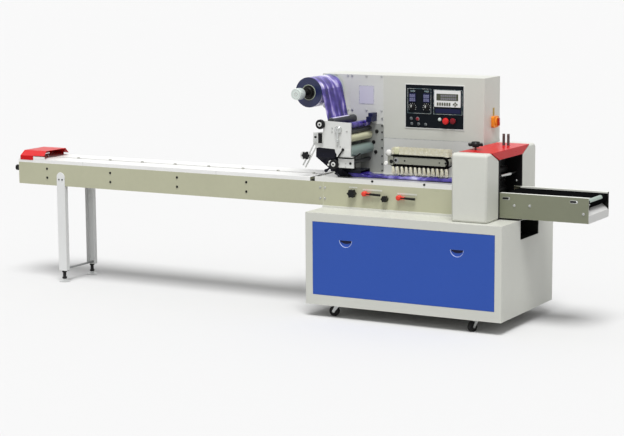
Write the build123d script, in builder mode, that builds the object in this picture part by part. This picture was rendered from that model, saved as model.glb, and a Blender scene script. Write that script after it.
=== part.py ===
from build123d import *
from math import acos, atan2, cos, hypot, pi, radians, sin
import os

os.makedirs("parts", exist_ok=True)

# Horizontal flow wrapper. X runs with the product flow, Y from front to back, Z up.
# The origin is on the floor, under the middle of the machine's bounding box.

# Driving dimensions, in millimetres
infeed_length = 2302.0
cabinet_width = 1260.0
exit_overhang = 423.0
end_knob_reach = 35.0
cabinet_depth = 776.0
cabinet_height = 550.0
floor_gap = 75.0
tower_height = 780.0

# Sheet, plate and clearance sizes
sheet = 3.0
plate = 8.0
running_clearance = 0.1
seat_gap = 0.3
cut_overrun = 5.0

# The conveyor line above the cabinet
line_setback = 227.0
line_width = 333.0
bed_thickness = 12.0
beam_height = 143.0
deck_rise = 23.0

# The sealing housing and the tower behind the line
seal_margin = 114.0
seal_width = 220.0
seal_height = 393.0
housing_gap = 14.0
tower_setback = 541.0
tower_overhang = 170.0
tower_width = 417.0
base_height = 401.0

# Stations worked out from the driving dimensions
total_length = end_knob_reach + infeed_length + cabinet_width + exit_overhang
cab_left = -total_length / 2 + end_knob_reach + infeed_length
cab_right = cab_left + cabinet_width
cab_front = -cabinet_depth / 2
cab_back = cabinet_depth / 2
cab_base = floor_gap
cab_top = cab_base + cabinet_height
infeed_left = cab_left - infeed_length
line_front = cab_front + line_setback
line_back = line_front + line_width
line_middle = (line_front + line_back) / 2
beam_low = cab_top + bed_thickness
beam_top = beam_low + beam_height
deck_top = beam_top + deck_rise
seal_right = cab_right - seal_margin
seal_left = seal_right - seal_width
tower_front = cab_front + tower_setback
tower_left = cab_left - tower_overhang
tower_right = tower_left + tower_width
tower_top = cab_top + tower_height
box_right = seal_left - housing_gap
base_top = cab_top + base_height

along_x = (0, 90, 0)
along_y = (90, 0, 0)
along_z = (0, 0, 0)


def block(x_span, y_span, z_span, mode=Mode.ADD):
    """Adds or cuts a box between its low and high ends along X, Y and Z."""
    spans = (x_span, y_span, z_span)
    centre = tuple((low + high) / 2 for low, high in spans)
    sizes = [high - low for low, high in spans]
    with Locations(centre):
        Box(*sizes, mode=mode)


def rod(centre, radius, length, turn, mode=Mode.ADD):
    """Adds or cuts a round bar about its centre, turned to lie along one axis."""
    with Locations(Location(centre, turn)):
        Cylinder(radius, length, mode=mode)


def rod_y(x, z, radius, y_span, mode=Mode.ADD):
    """Adds or cuts a round bar along Y between two ends."""
    rod((x, (y_span[0] + y_span[1]) / 2, z), radius, y_span[1] - y_span[0], along_y, mode)


# Casters: a swivelling fork on a kingpin under each corner, with a wheel on a trailing axle
caster_inset_x = 185.0
caster_inset_y = 75.0
caster_plate = 5.0
caster_plate_length = 74.0
caster_plate_width = 62.0
kingpin_radius = 6.0
crown_thickness = 5.0
crown_radius = 24.0
wheel_radius = 30.0
wheel_width = 22.0
axle_radius = 5.0
caster_trail = 28.0
fork_wall = 3.0
fork_gap = 1.5
axle_boss_radius = 9.0
crown_front_share = 0.8
caster_columns = {"left": cab_left + caster_inset_x, "right": cab_right - caster_inset_x}
caster_rows = {"front": cab_front + caster_inset_y, "rear": cab_back - caster_inset_y}
caster_headings = {"front_left": 180.0, "front_right": 250.0, "rear_left": 205.0, "rear_right": 165.0}
crown_top = cab_base - caster_plate - seat_gap
crown_bottom = crown_top - crown_thickness
cheek_inner = wheel_width / 2 + fork_gap
cheek_outer = cheek_inner + fork_wall

for row, caster_y in caster_rows.items():
    for column, caster_x in caster_columns.items():
        corner = f"{row}_{column}"
        trailing = Vector(1, 0, 0).rotate(Axis.Z, caster_headings[corner])
        swivel = Plane(origin=(caster_x, caster_y, 0), x_dir=trailing)
        axle_line = swivel * Location((caster_trail, 0, wheel_radius), along_y)
        with BuildPart() as caster_fork:
            with Locations(swivel.offset((crown_top + crown_bottom) / 2).location):
                Cylinder(crown_radius, crown_thickness)
                Cylinder(kingpin_radius + running_clearance, crown_thickness + cut_overrun, mode=Mode.SUBTRACT)
            for side in (-1, 1):
                cheek_middle = side * (cheek_inner + cheek_outer) / 2
                with BuildSketch(Plane(swivel.location * Location((0, cheek_middle, 0), along_y))) as cheek:
                    with BuildLine():
                        crown_rear = (-crown_radius / 2, crown_bottom)
                        crown_front = (crown_radius * crown_front_share, crown_bottom)
                        axle_front = (caster_trail + axle_boss_radius, wheel_radius)
                        axle_rear = (caster_trail - axle_boss_radius, wheel_radius)
                        Polyline(crown_rear, crown_front, axle_front, axle_rear, close=True)
                    make_face()
                    with Locations((caster_trail, wheel_radius)):
                        Circle(axle_boss_radius)
                extrude(amount=fork_wall / 2, both=True)
            with Locations(axle_line):
                Cylinder(axle_radius, 2 * cheek_outer)
        caster_fork.part.label = f"caster_fork_{corner}"
        export_step(caster_fork.part, f"parts/caster_fork_{corner}.step")

        with BuildPart() as caster_wheel:
            with Locations(axle_line):
                Cylinder(wheel_radius, wheel_width)
                Cylinder(axle_radius + running_clearance, wheel_width + cut_overrun, mode=Mode.SUBTRACT)
        caster_wheel.part.label = f"caster_wheel_{corner}"
        export_step(caster_wheel.part, f"parts/caster_wheel_{corner}.step")

# Cabinet floor with the caster plates and kingpins under it
with BuildPart() as cabinet_floor_plate:
    block((cab_left, cab_right), (cab_front, cab_back), (cab_base, cab_base + sheet))
    for caster_y in caster_rows.values():
        for caster_x in caster_columns.values():
            plate_x = (caster_x - caster_plate_length / 2, caster_x + caster_plate_length / 2)
            plate_y = (caster_y - caster_plate_width / 2, caster_y + caster_plate_width / 2)
            block(plate_x, plate_y, (cab_base - caster_plate, cab_base))
            pin_length = cab_base - crown_bottom
            rod((caster_x, caster_y, cab_base - pin_length / 2), kingpin_radius, pin_length, along_z)
cabinet_floor_plate.part.label = "cabinet_floor_plate"
export_step(cabinet_floor_plate.part, "parts/cabinet_floor_plate.step")

# Cabinet front frame round the lift-off door
frame_depth = 20.0
frame_corner = 8.0
door_left = 50.0
door_right = 40.0
door_low = 60.0
door_high = 51.0
door_lip = 12.0
door_lip_depth = 4.0
door_gap = 1.5
wall_low = cab_base + sheet
wall_high = cab_top - sheet
opening_x = (cab_left + door_left, cab_right - door_right)
opening_z = (cab_base + door_low, cab_top - door_high)
lip_front = cab_front + frame_depth - door_lip_depth

with BuildPart() as cabinet_front_frame:
    block((cab_left, cab_right), (cab_front, cab_front + frame_depth), (wall_low, wall_high))
    fillet(cabinet_front_frame.edges().filter_by(Axis.Z).group_by(Axis.Y)[0], frame_corner)
    block(opening_x, (cab_front - cut_overrun, lip_front), opening_z, Mode.SUBTRACT)
    lip_x = (opening_x[0] + door_lip, opening_x[1] - door_lip)
    lip_z = (opening_z[0] + door_lip, opening_z[1] - door_lip)
    block(lip_x, (lip_front - cut_overrun, cab_front + frame_depth + cut_overrun), lip_z, Mode.SUBTRACT)
cabinet_front_frame.part.label = "cabinet_front_frame"
export_step(cabinet_front_frame.part, "parts/cabinet_front_frame.step")

# Lift-off door with two half-moon finger pulls
pull_inset_left = 222.0
pull_inset_right = 233.0
pull_drop = 101.0
pull_radius = 42.0
pull_depth = 10.0
door_x = (opening_x[0] + door_gap, opening_x[1] - door_gap)
door_z = (opening_z[0] + door_gap, opening_z[1] - door_gap)
pull_z = opening_z[1] - pull_drop

with BuildPart() as door_panel:
    block(door_x, (cab_front, lip_front), door_z)
    with BuildSketch(Plane.XZ.offset(-cab_front)) as pulls:
        with Locations((opening_x[0] + pull_inset_left, pull_z), (opening_x[1] - pull_inset_right, pull_z)):
            Circle(pull_radius)
            with Locations((0, pull_radius / 2)):
                Rectangle(2 * pull_radius, pull_radius, mode=Mode.SUBTRACT)
    extrude(amount=-pull_depth, mode=Mode.SUBTRACT)
door_panel.part.label = "door_panel"
export_step(door_panel.part, "parts/door_panel.step")

# Cabinet walls, with the drive notch under the exit conveyor cut in the right one
notch_front = 274.0
notch_back = 548.0
notch_height = 112.0
panel_y = (cab_front + frame_depth, cab_back - sheet)
notch_y = (cab_front + notch_front, cab_front + notch_back)
notch_z = (wall_high - notch_height, wall_high)

with BuildPart() as cabinet_side_panels:
    block((cab_left, cab_left + sheet), panel_y, (wall_low, wall_high))
    block((cab_right - sheet, cab_right), panel_y, (wall_low, wall_high))
    notch_x = (cab_right - sheet - cut_overrun, cab_right + cut_overrun)
    block(notch_x, notch_y, (notch_z[0], notch_z[1] + cut_overrun), Mode.SUBTRACT)
cabinet_side_panels.part.label = "cabinet_side_panels"
export_step(cabinet_side_panels.part, "parts/cabinet_side_panels.step")

with BuildPart() as cabinet_back_panel:
    block((cab_left, cab_right), (cab_back - sheet, cab_back), (wall_low, wall_high))
cabinet_back_panel.part.label = "cabinet_back_panel"
export_step(cabinet_back_panel.part, "parts/cabinet_back_panel.step")

# Cabinet top with the raised bed that carries the line
bed_lip = 12.0

with BuildPart() as cabinet_top_plate:
    block((cab_left, cab_right), (cab_front, cab_back), (wall_high, cab_top))
    fillet(cabinet_top_plate.edges().filter_by(Axis.Z).group_by(Axis.Y)[0], frame_corner)
    block((cab_left, seal_left), (line_front - bed_lip, tower_front), (cab_top, beam_low))
cabinet_top_plate.part.label = "cabinet_top_plate"
export_step(cabinet_top_plate.part, "parts/cabinet_top_plate.step")

# Dark liner that closes the drive notch inside the cabinet
liner_depth = 200.0
liner_x = (cab_right - sheet - liner_depth, cab_right - sheet)

with BuildPart() as drive_liner:
    block(liner_x, (notch_y[0] - sheet, notch_y[1] + sheet), (notch_z[0] - sheet, notch_z[1]))
    inside_x = (liner_x[0] + sheet, liner_x[1] + cut_overrun)
    block(inside_x, notch_y, (notch_z[0], notch_z[1] + cut_overrun), Mode.SUBTRACT)
drive_liner.part.label = "drive_liner"
export_step(drive_liner.part, "parts/drive_liner.step")

# Infeed beam: two side plates tied across by tubes
tie_radius = 10.0
tie_stations = (20.0, 541.0, 1051.0, 1564.0, 2070.0)
tie_drop = 68.0
beam_inner = (line_front + plate, line_back - plate)

with BuildPart() as infeed_side_plates:
    block((infeed_left, cab_left), (line_front, beam_inner[0]), (beam_low, beam_top))
    block((infeed_left, cab_left), (beam_inner[1], line_back), (beam_low, beam_top))
infeed_side_plates.part.label = "infeed_side_plates"
export_step(infeed_side_plates.part, "parts/infeed_side_plates.step")

# Deck: two folded sheet guides on the beam, with the pusher slot between them
slot_width = 28.0
deck_sheet = 3.0
deck_end_gap = 90.0
guide_lip = 18.0
slot_y = (line_middle - slot_width / 2, line_middle + slot_width / 2)
deck_x = (infeed_left, cab_left - deck_end_gap)

with BuildPart() as infeed_deck_guides:
    for beam_face, slot_face, inward in ((line_front, slot_y[0], 1), (line_back, slot_y[1], -1)):
        with BuildSketch(Plane.YZ.offset(deck_x[0])) as guide_profile:
            with BuildLine():
                flange_y = beam_face + inward * deck_sheet
                lip_y = slot_face - inward * deck_sheet
                Polyline(
                    (beam_face, beam_top), (beam_face, deck_top), (slot_face, deck_top),
                    (slot_face, deck_top - guide_lip), (lip_y, deck_top - guide_lip),
                    (lip_y, deck_top - deck_sheet), (flange_y, deck_top - deck_sheet),
                    (flange_y, beam_top), close=True)
            make_face()
        extrude(amount=deck_x[1] - deck_x[0])
infeed_deck_guides.part.label = "infeed_deck_guides"
export_step(infeed_deck_guides.part, "parts/infeed_deck_guides.step")

# Pusher chain: one fixed loop with low pushers in the deck's slot
chain_thickness = 10.0
chain_width = 12.0
chain_top_drop = 12.0
chain_bottom_rise = 22.0
chain_end_left = 40.0
chain_end_right = 62.0
pusher_pitch = 254.0
pusher_thickness = 14.0
pusher_rise = 7.0
chain_z = (beam_low + chain_bottom_rise, deck_top - chain_top_drop)
chain_x = (infeed_left + chain_end_left, cab_left - chain_end_right)
chain_radius = (chain_z[1] - chain_z[0]) / 2
chain_middle_z = (chain_z[0] + chain_z[1]) / 2
chain_centres = (chain_x[0] + chain_radius, chain_x[1] - chain_radius)
chain_y = (line_middle - chain_width / 2, line_middle + chain_width / 2)
pusher_count = int((chain_centres[1] - chain_centres[0]) // pusher_pitch) + 1

with BuildPart() as pusher_chain:
    with BuildSketch(Plane.XZ.offset(-(line_middle + chain_width / 2))) as chain_loop:
        with Locations(((chain_x[0] + chain_x[1]) / 2, chain_middle_z)):
            SlotCenterToCenter(chain_centres[1] - chain_centres[0], 2 * chain_radius)
            SlotCenterToCenter(
                chain_centres[1] - chain_centres[0],
                2 * (chain_radius - chain_thickness), mode=Mode.SUBTRACT)
    extrude(amount=chain_width)
    for index in range(pusher_count):
        pusher_left = chain_centres[0] + index * pusher_pitch
        pusher_z = (chain_z[1] - chain_thickness, deck_top + pusher_rise)
        block((pusher_left, pusher_left + pusher_thickness), chain_y, pusher_z)
pusher_chain.part.label = "pusher_chain"
export_step(pusher_chain.part, "parts/pusher_chain.step")

# Cross ties, sprockets on their shafts, the end plate and the width knob's screw
tie_z = beam_top - tie_drop
end_plate_inset = 6.0
sprocket_shaft_radius = 12.0
width_screw_radius = 5.0
width_knob_depth = 20.0
width_knob_inset = 26.0
width_knob_drop = 42.0
width_knob_y = line_front + width_knob_inset
width_knob_z = beam_top - width_knob_drop
width_knob_left = infeed_left - end_knob_reach
end_x = (infeed_left + end_plate_inset, infeed_left + end_plate_inset + sheet)
width_screw_x = (width_knob_left + width_knob_depth / 2, end_x[0])

with BuildPart() as infeed_shafts:
    for station in tie_stations:
        rod_y(cab_left - station, tie_z, tie_radius, beam_inner)
    for sprocket_x in chain_centres:
        rod_y(sprocket_x, chain_middle_z, chain_radius - chain_thickness, chain_y)
        rod_y(sprocket_x, chain_middle_z, sprocket_shaft_radius, beam_inner)
    block(end_x, beam_inner, (beam_low, beam_top))
    screw_centre = (sum(width_screw_x) / 2, width_knob_y, width_knob_z)
    rod(screw_centre, width_screw_radius, width_screw_x[1] - width_screw_x[0], along_x)
infeed_shafts.part.label = "infeed_shafts"
export_step(infeed_shafts.part, "parts/infeed_shafts.step")

# Red hood over the infeed's first sprocket: a folded cover with a raised mouth
hood_sheet = 2.0
hood_length = 215.0
hood_straight = 118.0
hood_tab_length = 100.0
hood_tab_drop = 16.0
hood_edge_rise = 2.0
hood_side_height = 6.0
hood_height = 52.0
hood_shoulder = 38.0
hood_nose_slope = 14.0
mouth_lift = 24.0
hood_end_gap = 0.2
hood_left = infeed_left + hood_end_gap
hood_mouth_x = hood_left + hood_length
hood_bend_x = hood_left + hood_straight
hood_low = deck_top + hood_edge_rise
hood_outer_y = (line_front - hood_sheet, line_back + hood_sheet)


def hood_outline(low, ridge, inset):
    """Gives the hood's section, its walls moved in by an inset."""
    eave = low + hood_side_height
    ridge_inset = hood_shoulder + inset / 2
    return (
        (hood_outer_y[0] + inset, low), (hood_outer_y[0] + inset, eave),
        (hood_outer_y[0] + ridge_inset, ridge - inset), (hood_outer_y[1] - ridge_inset, ridge - inset),
        (hood_outer_y[1] - inset, eave), (hood_outer_y[1] - inset, low))


hood_high = deck_top + hood_height
nose_high = hood_low + 2 * hood_side_height
hood_stations = (
    (hood_left, hood_low, nose_high),
    (hood_left + hood_nose_slope, hood_low, hood_high),
    (hood_bend_x, hood_low, hood_high),
    (hood_mouth_x, hood_low + mouth_lift, hood_high + mouth_lift))

with BuildPart() as infeed_hood:
    for x, low, ridge in hood_stations:
        with BuildSketch(Plane.YZ.offset(x)):
            with BuildLine():
                Polyline(*hood_outline(low, ridge, 0), close=True)
            make_face()
    loft(ruled=True)
    for x, low, ridge in hood_stations:
        inner_x = x + hood_sheet if x < hood_mouth_x else x + cut_overrun
        with BuildSketch(Plane.YZ.offset(inner_x)):
            with BuildLine():
                Polyline(*hood_outline(low, ridge, hood_sheet), close=True)
            make_face()
    loft(ruled=True, mode=Mode.SUBTRACT)
    tab_z = (hood_low - hood_tab_drop, hood_low + hood_side_height)
    for wall in (hood_outer_y[0], hood_outer_y[1] - hood_sheet):
        block((hood_left, hood_left + hood_tab_length), (wall, wall + hood_sheet), tab_z)
infeed_hood.part.label = "infeed_hood"
export_step(infeed_hood.part, "parts/infeed_hood.step")

# Infeed legs: two channel legs with a rounded head on the beam, and a tie between their feet
leg_station = 1960.0
leg_width = 64.0
leg_depth = 32.0
leg_sheet = 3.0
leg_head_height = 90.0
leg_floor_gap = 90.0
leg_tie_height = 30.0
leg_tie_depth = 20.0
leg_x = cab_left - leg_station
leg_foot_z = leg_floor_gap
leg_head_z = beam_low + leg_head_height
leg_outer_y = (line_front - leg_sheet, line_back + leg_sheet)
leg_inner_y = (leg_outer_y[0] + leg_depth, leg_outer_y[1] - leg_depth)

with BuildPart() as infeed_leg_frame:
    for outer, inner, web in (
        (leg_outer_y[0], leg_inner_y[0], (leg_outer_y[0], line_front)),
        (leg_outer_y[1], leg_inner_y[1], (line_back, leg_outer_y[1])),
    ):
        with BuildSketch(Plane.XZ.offset(-web[1])) as leg_face:
            with Locations((leg_x, (leg_foot_z + leg_head_z - leg_width / 2) / 2)):
                Rectangle(leg_width, leg_head_z - leg_width / 2 - leg_foot_z)
            with Locations((leg_x, leg_head_z - leg_width / 2)):
                Circle(leg_width / 2)
        extrude(amount=web[1] - web[0])
        flange_y = (min(outer, inner), max(outer, inner))
        for flange_left in (leg_x - leg_width / 2, leg_x + leg_width / 2 - leg_sheet):
            block((flange_left, flange_left + leg_sheet), flange_y, (leg_foot_z, beam_low))
        block((leg_x - leg_width / 2, leg_x + leg_width / 2), flange_y, (leg_foot_z, leg_foot_z + leg_sheet))
    tie_x = (leg_x - leg_tie_depth / 2, leg_x + leg_tie_depth / 2)
    tie_low = leg_foot_z + leg_sheet
    block(tie_x, (leg_outer_y[0] + leg_sheet, leg_outer_y[1] - leg_sheet), (tie_low, tie_low + leg_tie_height))
infeed_leg_frame.part.label = "infeed_leg_frame"
export_step(infeed_leg_frame.part, "parts/infeed_leg_frame.step")

# Levelling feet: a stud and a domed pad under each leg
foot_radius = 24.0
foot_pad_height = 10.0
foot_neck_height = 22.0
foot_neck_radius = 12.0
stud_radius = 6.0
foot_rows = ((leg_outer_y[0] + leg_inner_y[0]) / 2, (leg_outer_y[1] + leg_inner_y[1]) / 2)

with BuildPart() as levelling_feet:
    for foot_y in foot_rows:
        with BuildSketch(Plane.XZ.offset(-foot_y)) as foot_profile:
            with BuildLine():
                Polyline(
                    (leg_x, 0), (leg_x + foot_radius, 0), (leg_x + foot_radius, foot_pad_height),
                    (leg_x + foot_neck_radius, foot_neck_height), (leg_x + stud_radius, foot_neck_height),
                    (leg_x + stud_radius, leg_foot_z), (leg_x, leg_foot_z), close=True)
            make_face()
        revolve(axis=Axis((leg_x, foot_y, 0), (0, 0, 1)))
levelling_feet.part.label = "levelling_feet"
export_step(levelling_feet.part, "parts/levelling_feet.step")

# Front plate of the line over the cabinet, with studs for the knobs and levers
frame_inset = 15.0
control_stud_radius = 5.0
control_stud_length = 22.0
control_offsets = {
    "knob_left": (202.0, 84.0), "lever_left": (286.0, 88.0),
    "knob_right": (421.0, 65.0), "lever_right": (514.0, 78.0)}
control_places = {name: (cab_left + across, beam_low + up) for name, (across, up) in control_offsets.items()}
line_right = seal_left + frame_inset

with BuildPart() as line_side_plate:
    block((cab_left, line_right), (line_front, line_front + plate), (beam_low, beam_top))
    for x, z in control_places.values():
        rod_y(x, z, control_stud_radius, (line_front - control_stud_length, line_front))
line_side_plate.part.label = "line_side_plate"
export_step(line_side_plate.part, "parts/line_side_plate.step")

# Film table: a folded sheet from the front plate to the tower
table_start = 57.0
table_lip_height = 30.0
table_surface_rise = 23.0
table_sheet = 4.0
table_x = (cab_left - table_start, line_right)
table_top = beam_top + table_surface_rise

with BuildPart() as film_table:
    with BuildSketch(Plane.YZ.offset(table_x[0])) as table_profile:
        with BuildLine():
            Polyline(
                (line_front, beam_top), (line_front, beam_top + table_lip_height),
                (line_front + table_sheet, beam_top + table_lip_height), (line_front + table_sheet, table_top),
                (tower_front, table_top), (tower_front, table_top - table_sheet),
                (line_front + plate, table_top - table_sheet), (line_front + plate, beam_top), close=True)
        make_face()
    extrude(amount=table_x[1] - table_x[0])
film_table.part.label = "film_table"
export_step(film_table.part, "parts/film_table.step")

# Film tube: the folded web lying on the table, from the former to the sealing housing
tube_width = 112.0
tube_height = 34.0
tube_start = 70.0
tube_end = 40.0
tube_corner = 14.0
tube_x = (cab_left + tube_start, seal_left + tube_end)
tube_y = (line_middle - tube_width / 2, line_middle + tube_width / 2)
tube_z = (table_top, table_top + tube_height)

with BuildPart() as film_tube:
    block(tube_x, tube_y, tube_z)
    fillet(film_tube.edges().filter_by(Axis.X), tube_corner)
film_tube.part.label = "film_tube"
export_step(film_tube.part, "parts/film_tube.step")

# Tower: a base housing behind the line, a column on its left and the control box on its right
cover_sheet = 4.0
overhang_left_rise = 575.0
overhang_right_rise = 450.0
column_split = 190.0
cover_low_left = 540.0
cover_low_right = 285.0
housing_corner = 6.0
tower_body_front = tower_front + cover_sheet

overhang_left = (tower_left, cab_top + overhang_left_rise)
overhang_right = (cab_left, cab_top + overhang_right_rise)

with BuildPart() as tower_base:
    block((cab_left, box_right), (tower_body_front, cab_back), (cab_top, base_top))
tower_base.part.label = "tower_base"
export_step(tower_base.part, "parts/tower_base.step")

with BuildPart() as tower_column:
    with BuildSketch(Plane.XZ.offset(-cab_back)) as column_side:
        with BuildLine():
            Polyline(
                overhang_left, overhang_right, (cab_left, base_top), (tower_right, base_top),
                (tower_right, tower_top), (tower_left, tower_top), close=True)
        make_face()
    extrude(amount=cab_back - tower_body_front)
    fillet(tower_column.edges().filter_by(Axis.Z).group_by(Axis.Y)[-1].sort_by(Axis.X)[0], housing_corner)
tower_column.part.label = "tower_column"
export_step(tower_column.part, "parts/tower_column.step")

# Cover plates screwed on the tower's front
bearing_radius = 26.0
bearing_depth = 10.0
reel_shaft_radius = 15.0
reel_overhang = 115.0
reel_rise = 685.0
reel_x = cab_left - reel_overhang
reel_z = cab_top + reel_rise
cover_seam_x = tower_left + column_split
left_cover_low = cab_top + cover_low_left
right_cover_low = cab_top + cover_low_right
overhang_share = (overhang_left[1] - left_cover_low) / (overhang_left[1] - overhang_right[1])
overhang_seam = (tower_left + overhang_share * tower_overhang, left_cover_low)
cover_y = (tower_front, tower_body_front)

with BuildPart() as tower_covers:
    with BuildSketch(Plane.XZ.offset(-tower_body_front)) as left_cover:
        with BuildLine():
            Polyline(
                overhang_left, overhang_seam, (cover_seam_x, left_cover_low), (cover_seam_x, tower_top),
                (tower_left, tower_top), close=True)
        make_face()
    extrude(amount=cover_sheet)
    block((cover_seam_x + seat_gap, tower_right), cover_y, (right_cover_low, tower_top))
    with BuildSketch(Plane.XZ.offset(-tower_body_front)) as lower_cover:
        with BuildLine():
            Polyline(
                (cab_left, cab_top), (box_right, cab_top), (box_right, base_top),
                (tower_right + seat_gap, base_top), (tower_right + seat_gap, right_cover_low - seat_gap),
                (cover_seam_x, right_cover_low - seat_gap), (cover_seam_x, left_cover_low - seat_gap),
                (overhang_seam[0] + seat_gap, left_cover_low - seat_gap), overhang_right, close=True)
        make_face()
    extrude(amount=cover_sheet)
    rod_y(reel_x, reel_z, bearing_radius, (tower_front - bearing_depth, tower_front))
    bore_y = (tower_front - bearing_depth - cut_overrun, tower_front)
    rod_y(reel_x, reel_z, reel_shaft_radius + running_clearance, bore_y, Mode.SUBTRACT)
tower_covers.part.label = "tower_covers"
export_step(tower_covers.part, "parts/tower_covers.step")

# Control box on the base, beside the column
with BuildPart() as control_box:
    block((tower_right, box_right), (tower_front, cab_back), (base_top, tower_top))
    fillet(control_box.edges().filter_by(Axis.Z).group_by(Axis.X)[-1], housing_corner)
control_box.part.label = "control_box"
export_step(control_box.part, "parts/control_box.step")

# Control panel with two raised frames
panel_margin_left = 151.0
panel_margin_right = 131.0
panel_low = 71.0
panel_margin_top = 49.0
panel_sheet = 3.0
bezel_height = 3.0
bezel_width = 4.0
left_bezel_shares = (0.04, 0.44, 0.35, 0.91)
right_bezel_shares = (0.49, 0.965, 0.35, 0.895)
panel_x = (tower_right + panel_margin_left, box_right - panel_margin_right)
panel_z = (base_top + panel_low, tower_top - panel_margin_top)
panel_width = panel_x[1] - panel_x[0]
panel_height = panel_z[1] - panel_z[0]
panel_front = tower_front - panel_sheet


def panel_place(across_share, up_share):
    """Gives a place on the control panel from shares of its width and height."""
    return (panel_x[0] + across_share * panel_width, panel_z[0] + up_share * panel_height)


# Sizes and places of the counters, dials, operator display and push buttons
counter_width = 46.0
counter_height = 30.0
counter_depth = 6.0
dial_radius = 17.0
dial_depth = 18.0
display_depth = 5.0
button_radius = 11.0
button_depth = 9.0
stop_button_radius = 17.0
stop_button_depth = 22.0
counter_shares = ((0.145, 0.70), (0.35, 0.70))
dial_shares = ((0.14, 0.485), (0.35, 0.485))
display_shares = (0.515, 0.94, 0.51, 0.87)
button_shares = ((0.10, 0.215), (0.21, 0.215), (0.11, 0.095), (0.23, 0.095), (0.35, 0.095), (0.595, 0.215))
stop_button_shares = ((0.705, 0.19), (0.825, 0.19))

with BuildPart() as control_panel:
    block(panel_x, (panel_front, tower_front), panel_z)
    for left_share, right_share, low_share, high_share in (left_bezel_shares, right_bezel_shares):
        bezel_low = panel_place(left_share, low_share)
        bezel_high = panel_place(right_share, high_share)
        bezel_y = (panel_front - bezel_height, panel_front)
        block((bezel_low[0], bezel_high[0]), bezel_y, (bezel_low[1], bezel_high[1]))
        inner_y = (panel_front - bezel_height - cut_overrun, panel_front)
        inner_x = (bezel_low[0] + bezel_width, bezel_high[0] - bezel_width)
        inner_z = (bezel_low[1] + bezel_width, bezel_high[1] - bezel_width)
        block(inner_x, inner_y, inner_z, Mode.SUBTRACT)
    for shares in counter_shares:
        x, z = panel_place(*shares)
        counter_x = (x - counter_width / 2, x + counter_width / 2)
        counter_z = (z - counter_height / 2, z + counter_height / 2)
        block(counter_x, (panel_front - counter_depth, panel_front), counter_z)
    for shares in dial_shares:
        x, z = panel_place(*shares)
        rod_y(x, z, dial_radius, (panel_front - dial_depth, panel_front))
    display_low = panel_place(display_shares[0], display_shares[2])
    display_high = panel_place(display_shares[1], display_shares[3])
    display_y = (panel_front - display_depth, panel_front)
    block((display_low[0], display_high[0]), display_y, (display_low[1], display_high[1]))
    for shares in button_shares:
        x, z = panel_place(*shares)
        rod_y(x, z, button_radius, (panel_front - button_depth, panel_front))
    for shares in stop_button_shares:
        x, z = panel_place(*shares)
        rod_y(x, z, stop_button_radius, (panel_front - stop_button_depth, panel_front))
control_panel.part.label = "control_panel"
export_step(control_panel.part, "parts/control_panel.step")

# Main switch on the box's right side: a square plate with a stud, and a turning handle
switch_setback = 86.0
switch_rise = 113.0
switch_plate_size = 62.0
switch_plate_depth = 6.0
switch_stud_radius = 5.0
switch_stud_length = 16.0
switch_hub_radius = 19.0
switch_hub_depth = 14.0
switch_grip_length = 44.0
switch_grip_width = 14.0
switch_grip_depth = 14.0
switch_y = cab_back - switch_setback
switch_z = base_top + switch_rise
switch_face = box_right + switch_plate_depth
switch_hub_x = (switch_face + seat_gap, switch_face + seat_gap + switch_hub_depth)

with BuildPart() as switch_plate:
    half_plate = switch_plate_size / 2
    switch_plate_y = (switch_y - half_plate, switch_y + half_plate)
    block((box_right, switch_face), switch_plate_y, (switch_z - half_plate, switch_z + half_plate))
    switch_stud_x = switch_face + switch_stud_length / 2
    rod((switch_stud_x, switch_y, switch_z), switch_stud_radius, switch_stud_length, along_x)
switch_plate.part.label = "switch_plate"
export_step(switch_plate.part, "parts/switch_plate.step")

with BuildPart() as main_switch:
    rod((sum(switch_hub_x) / 2, switch_y, switch_z), switch_hub_radius, switch_hub_depth, along_x)
    grip_x = (switch_hub_x[1], switch_hub_x[1] + switch_grip_depth)
    grip_y = (switch_y - switch_grip_width / 2, switch_y + switch_grip_width / 2)
    block(grip_x, grip_y, (switch_z - switch_grip_length / 2, switch_z + switch_grip_length / 2))
    bore_length = 2 * (switch_stud_length + seat_gap)
    bore_radius = switch_stud_radius + running_clearance
    rod((switch_face, switch_y, switch_z), bore_radius, bore_length, along_x, Mode.SUBTRACT)
main_switch.part.label = "main_switch"
export_step(main_switch.part, "parts/main_switch.step")

# Film unit: a shaped front plate held off the tower by tie bars and roller spindles
unit_plate_front = 242.0
unit_plate_thickness = 10.0
unit_plate_corners = (
    (-2.0, 520.0), (181.0, 513.0), (178.0, 307.0), (112.0, 306.0), (78.0, 330.0), (72.0, 353.0),
    (-49.0, 359.0), (-70.0, 373.0), (-77.0, 390.0), (-75.0, 445.0), (-7.0, 452.0))
unit_plate_y = (cab_front + unit_plate_front, cab_front + unit_plate_front + unit_plate_thickness)
unit_span = (unit_plate_y[1], tower_front)

# Fittings on the plate's face: a boss with a lever, a clamp block and its band, a lower bracket
boss_offset = (98.0, 471.0)
boss_radius = 22.0
boss_depth = 8.0
boss_lever_length = 69.0
boss_lever_width = 12.0
clamp_across = (-71.0, -32.0)
clamp_up = (388.0, 448.0)
band_across = (-32.0, -5.0)
band_up = (388.0, 443.0)
clamp_depth = 8.0
band_depth = 14.0
bracket_across = (96.0, 198.0)
bracket_up = (243.0, 312.0)
bracket_thickness = 8.0
bracket_ear_across = 62.0
bracket_ear_up = (247.0, 279.0)
ring_knob_radius = 27.0
ring_knob_depth = 16.0
ring_stem_radius = 8.0
ring_stem_length = 3.0
ring_knob_offsets = ((-20.0, 499.0), (72.0, 263.0))
ring_ear_radius = 22.0

# Twin guide rods that hang from the plate, with a clamped star knob
rod_top_offsets = ((-66.0, 388.0), (-49.0, 376.0))
rod_reach = 166.0
rod_lean = 30.0
guide_rod_radius = 4.5
star_knob_drop = 94.0
star_knob_radius = 25.0
star_knob_depth = 16.0
star_clamp_size = 30.0
star_clamp_depth = 22.0

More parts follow.
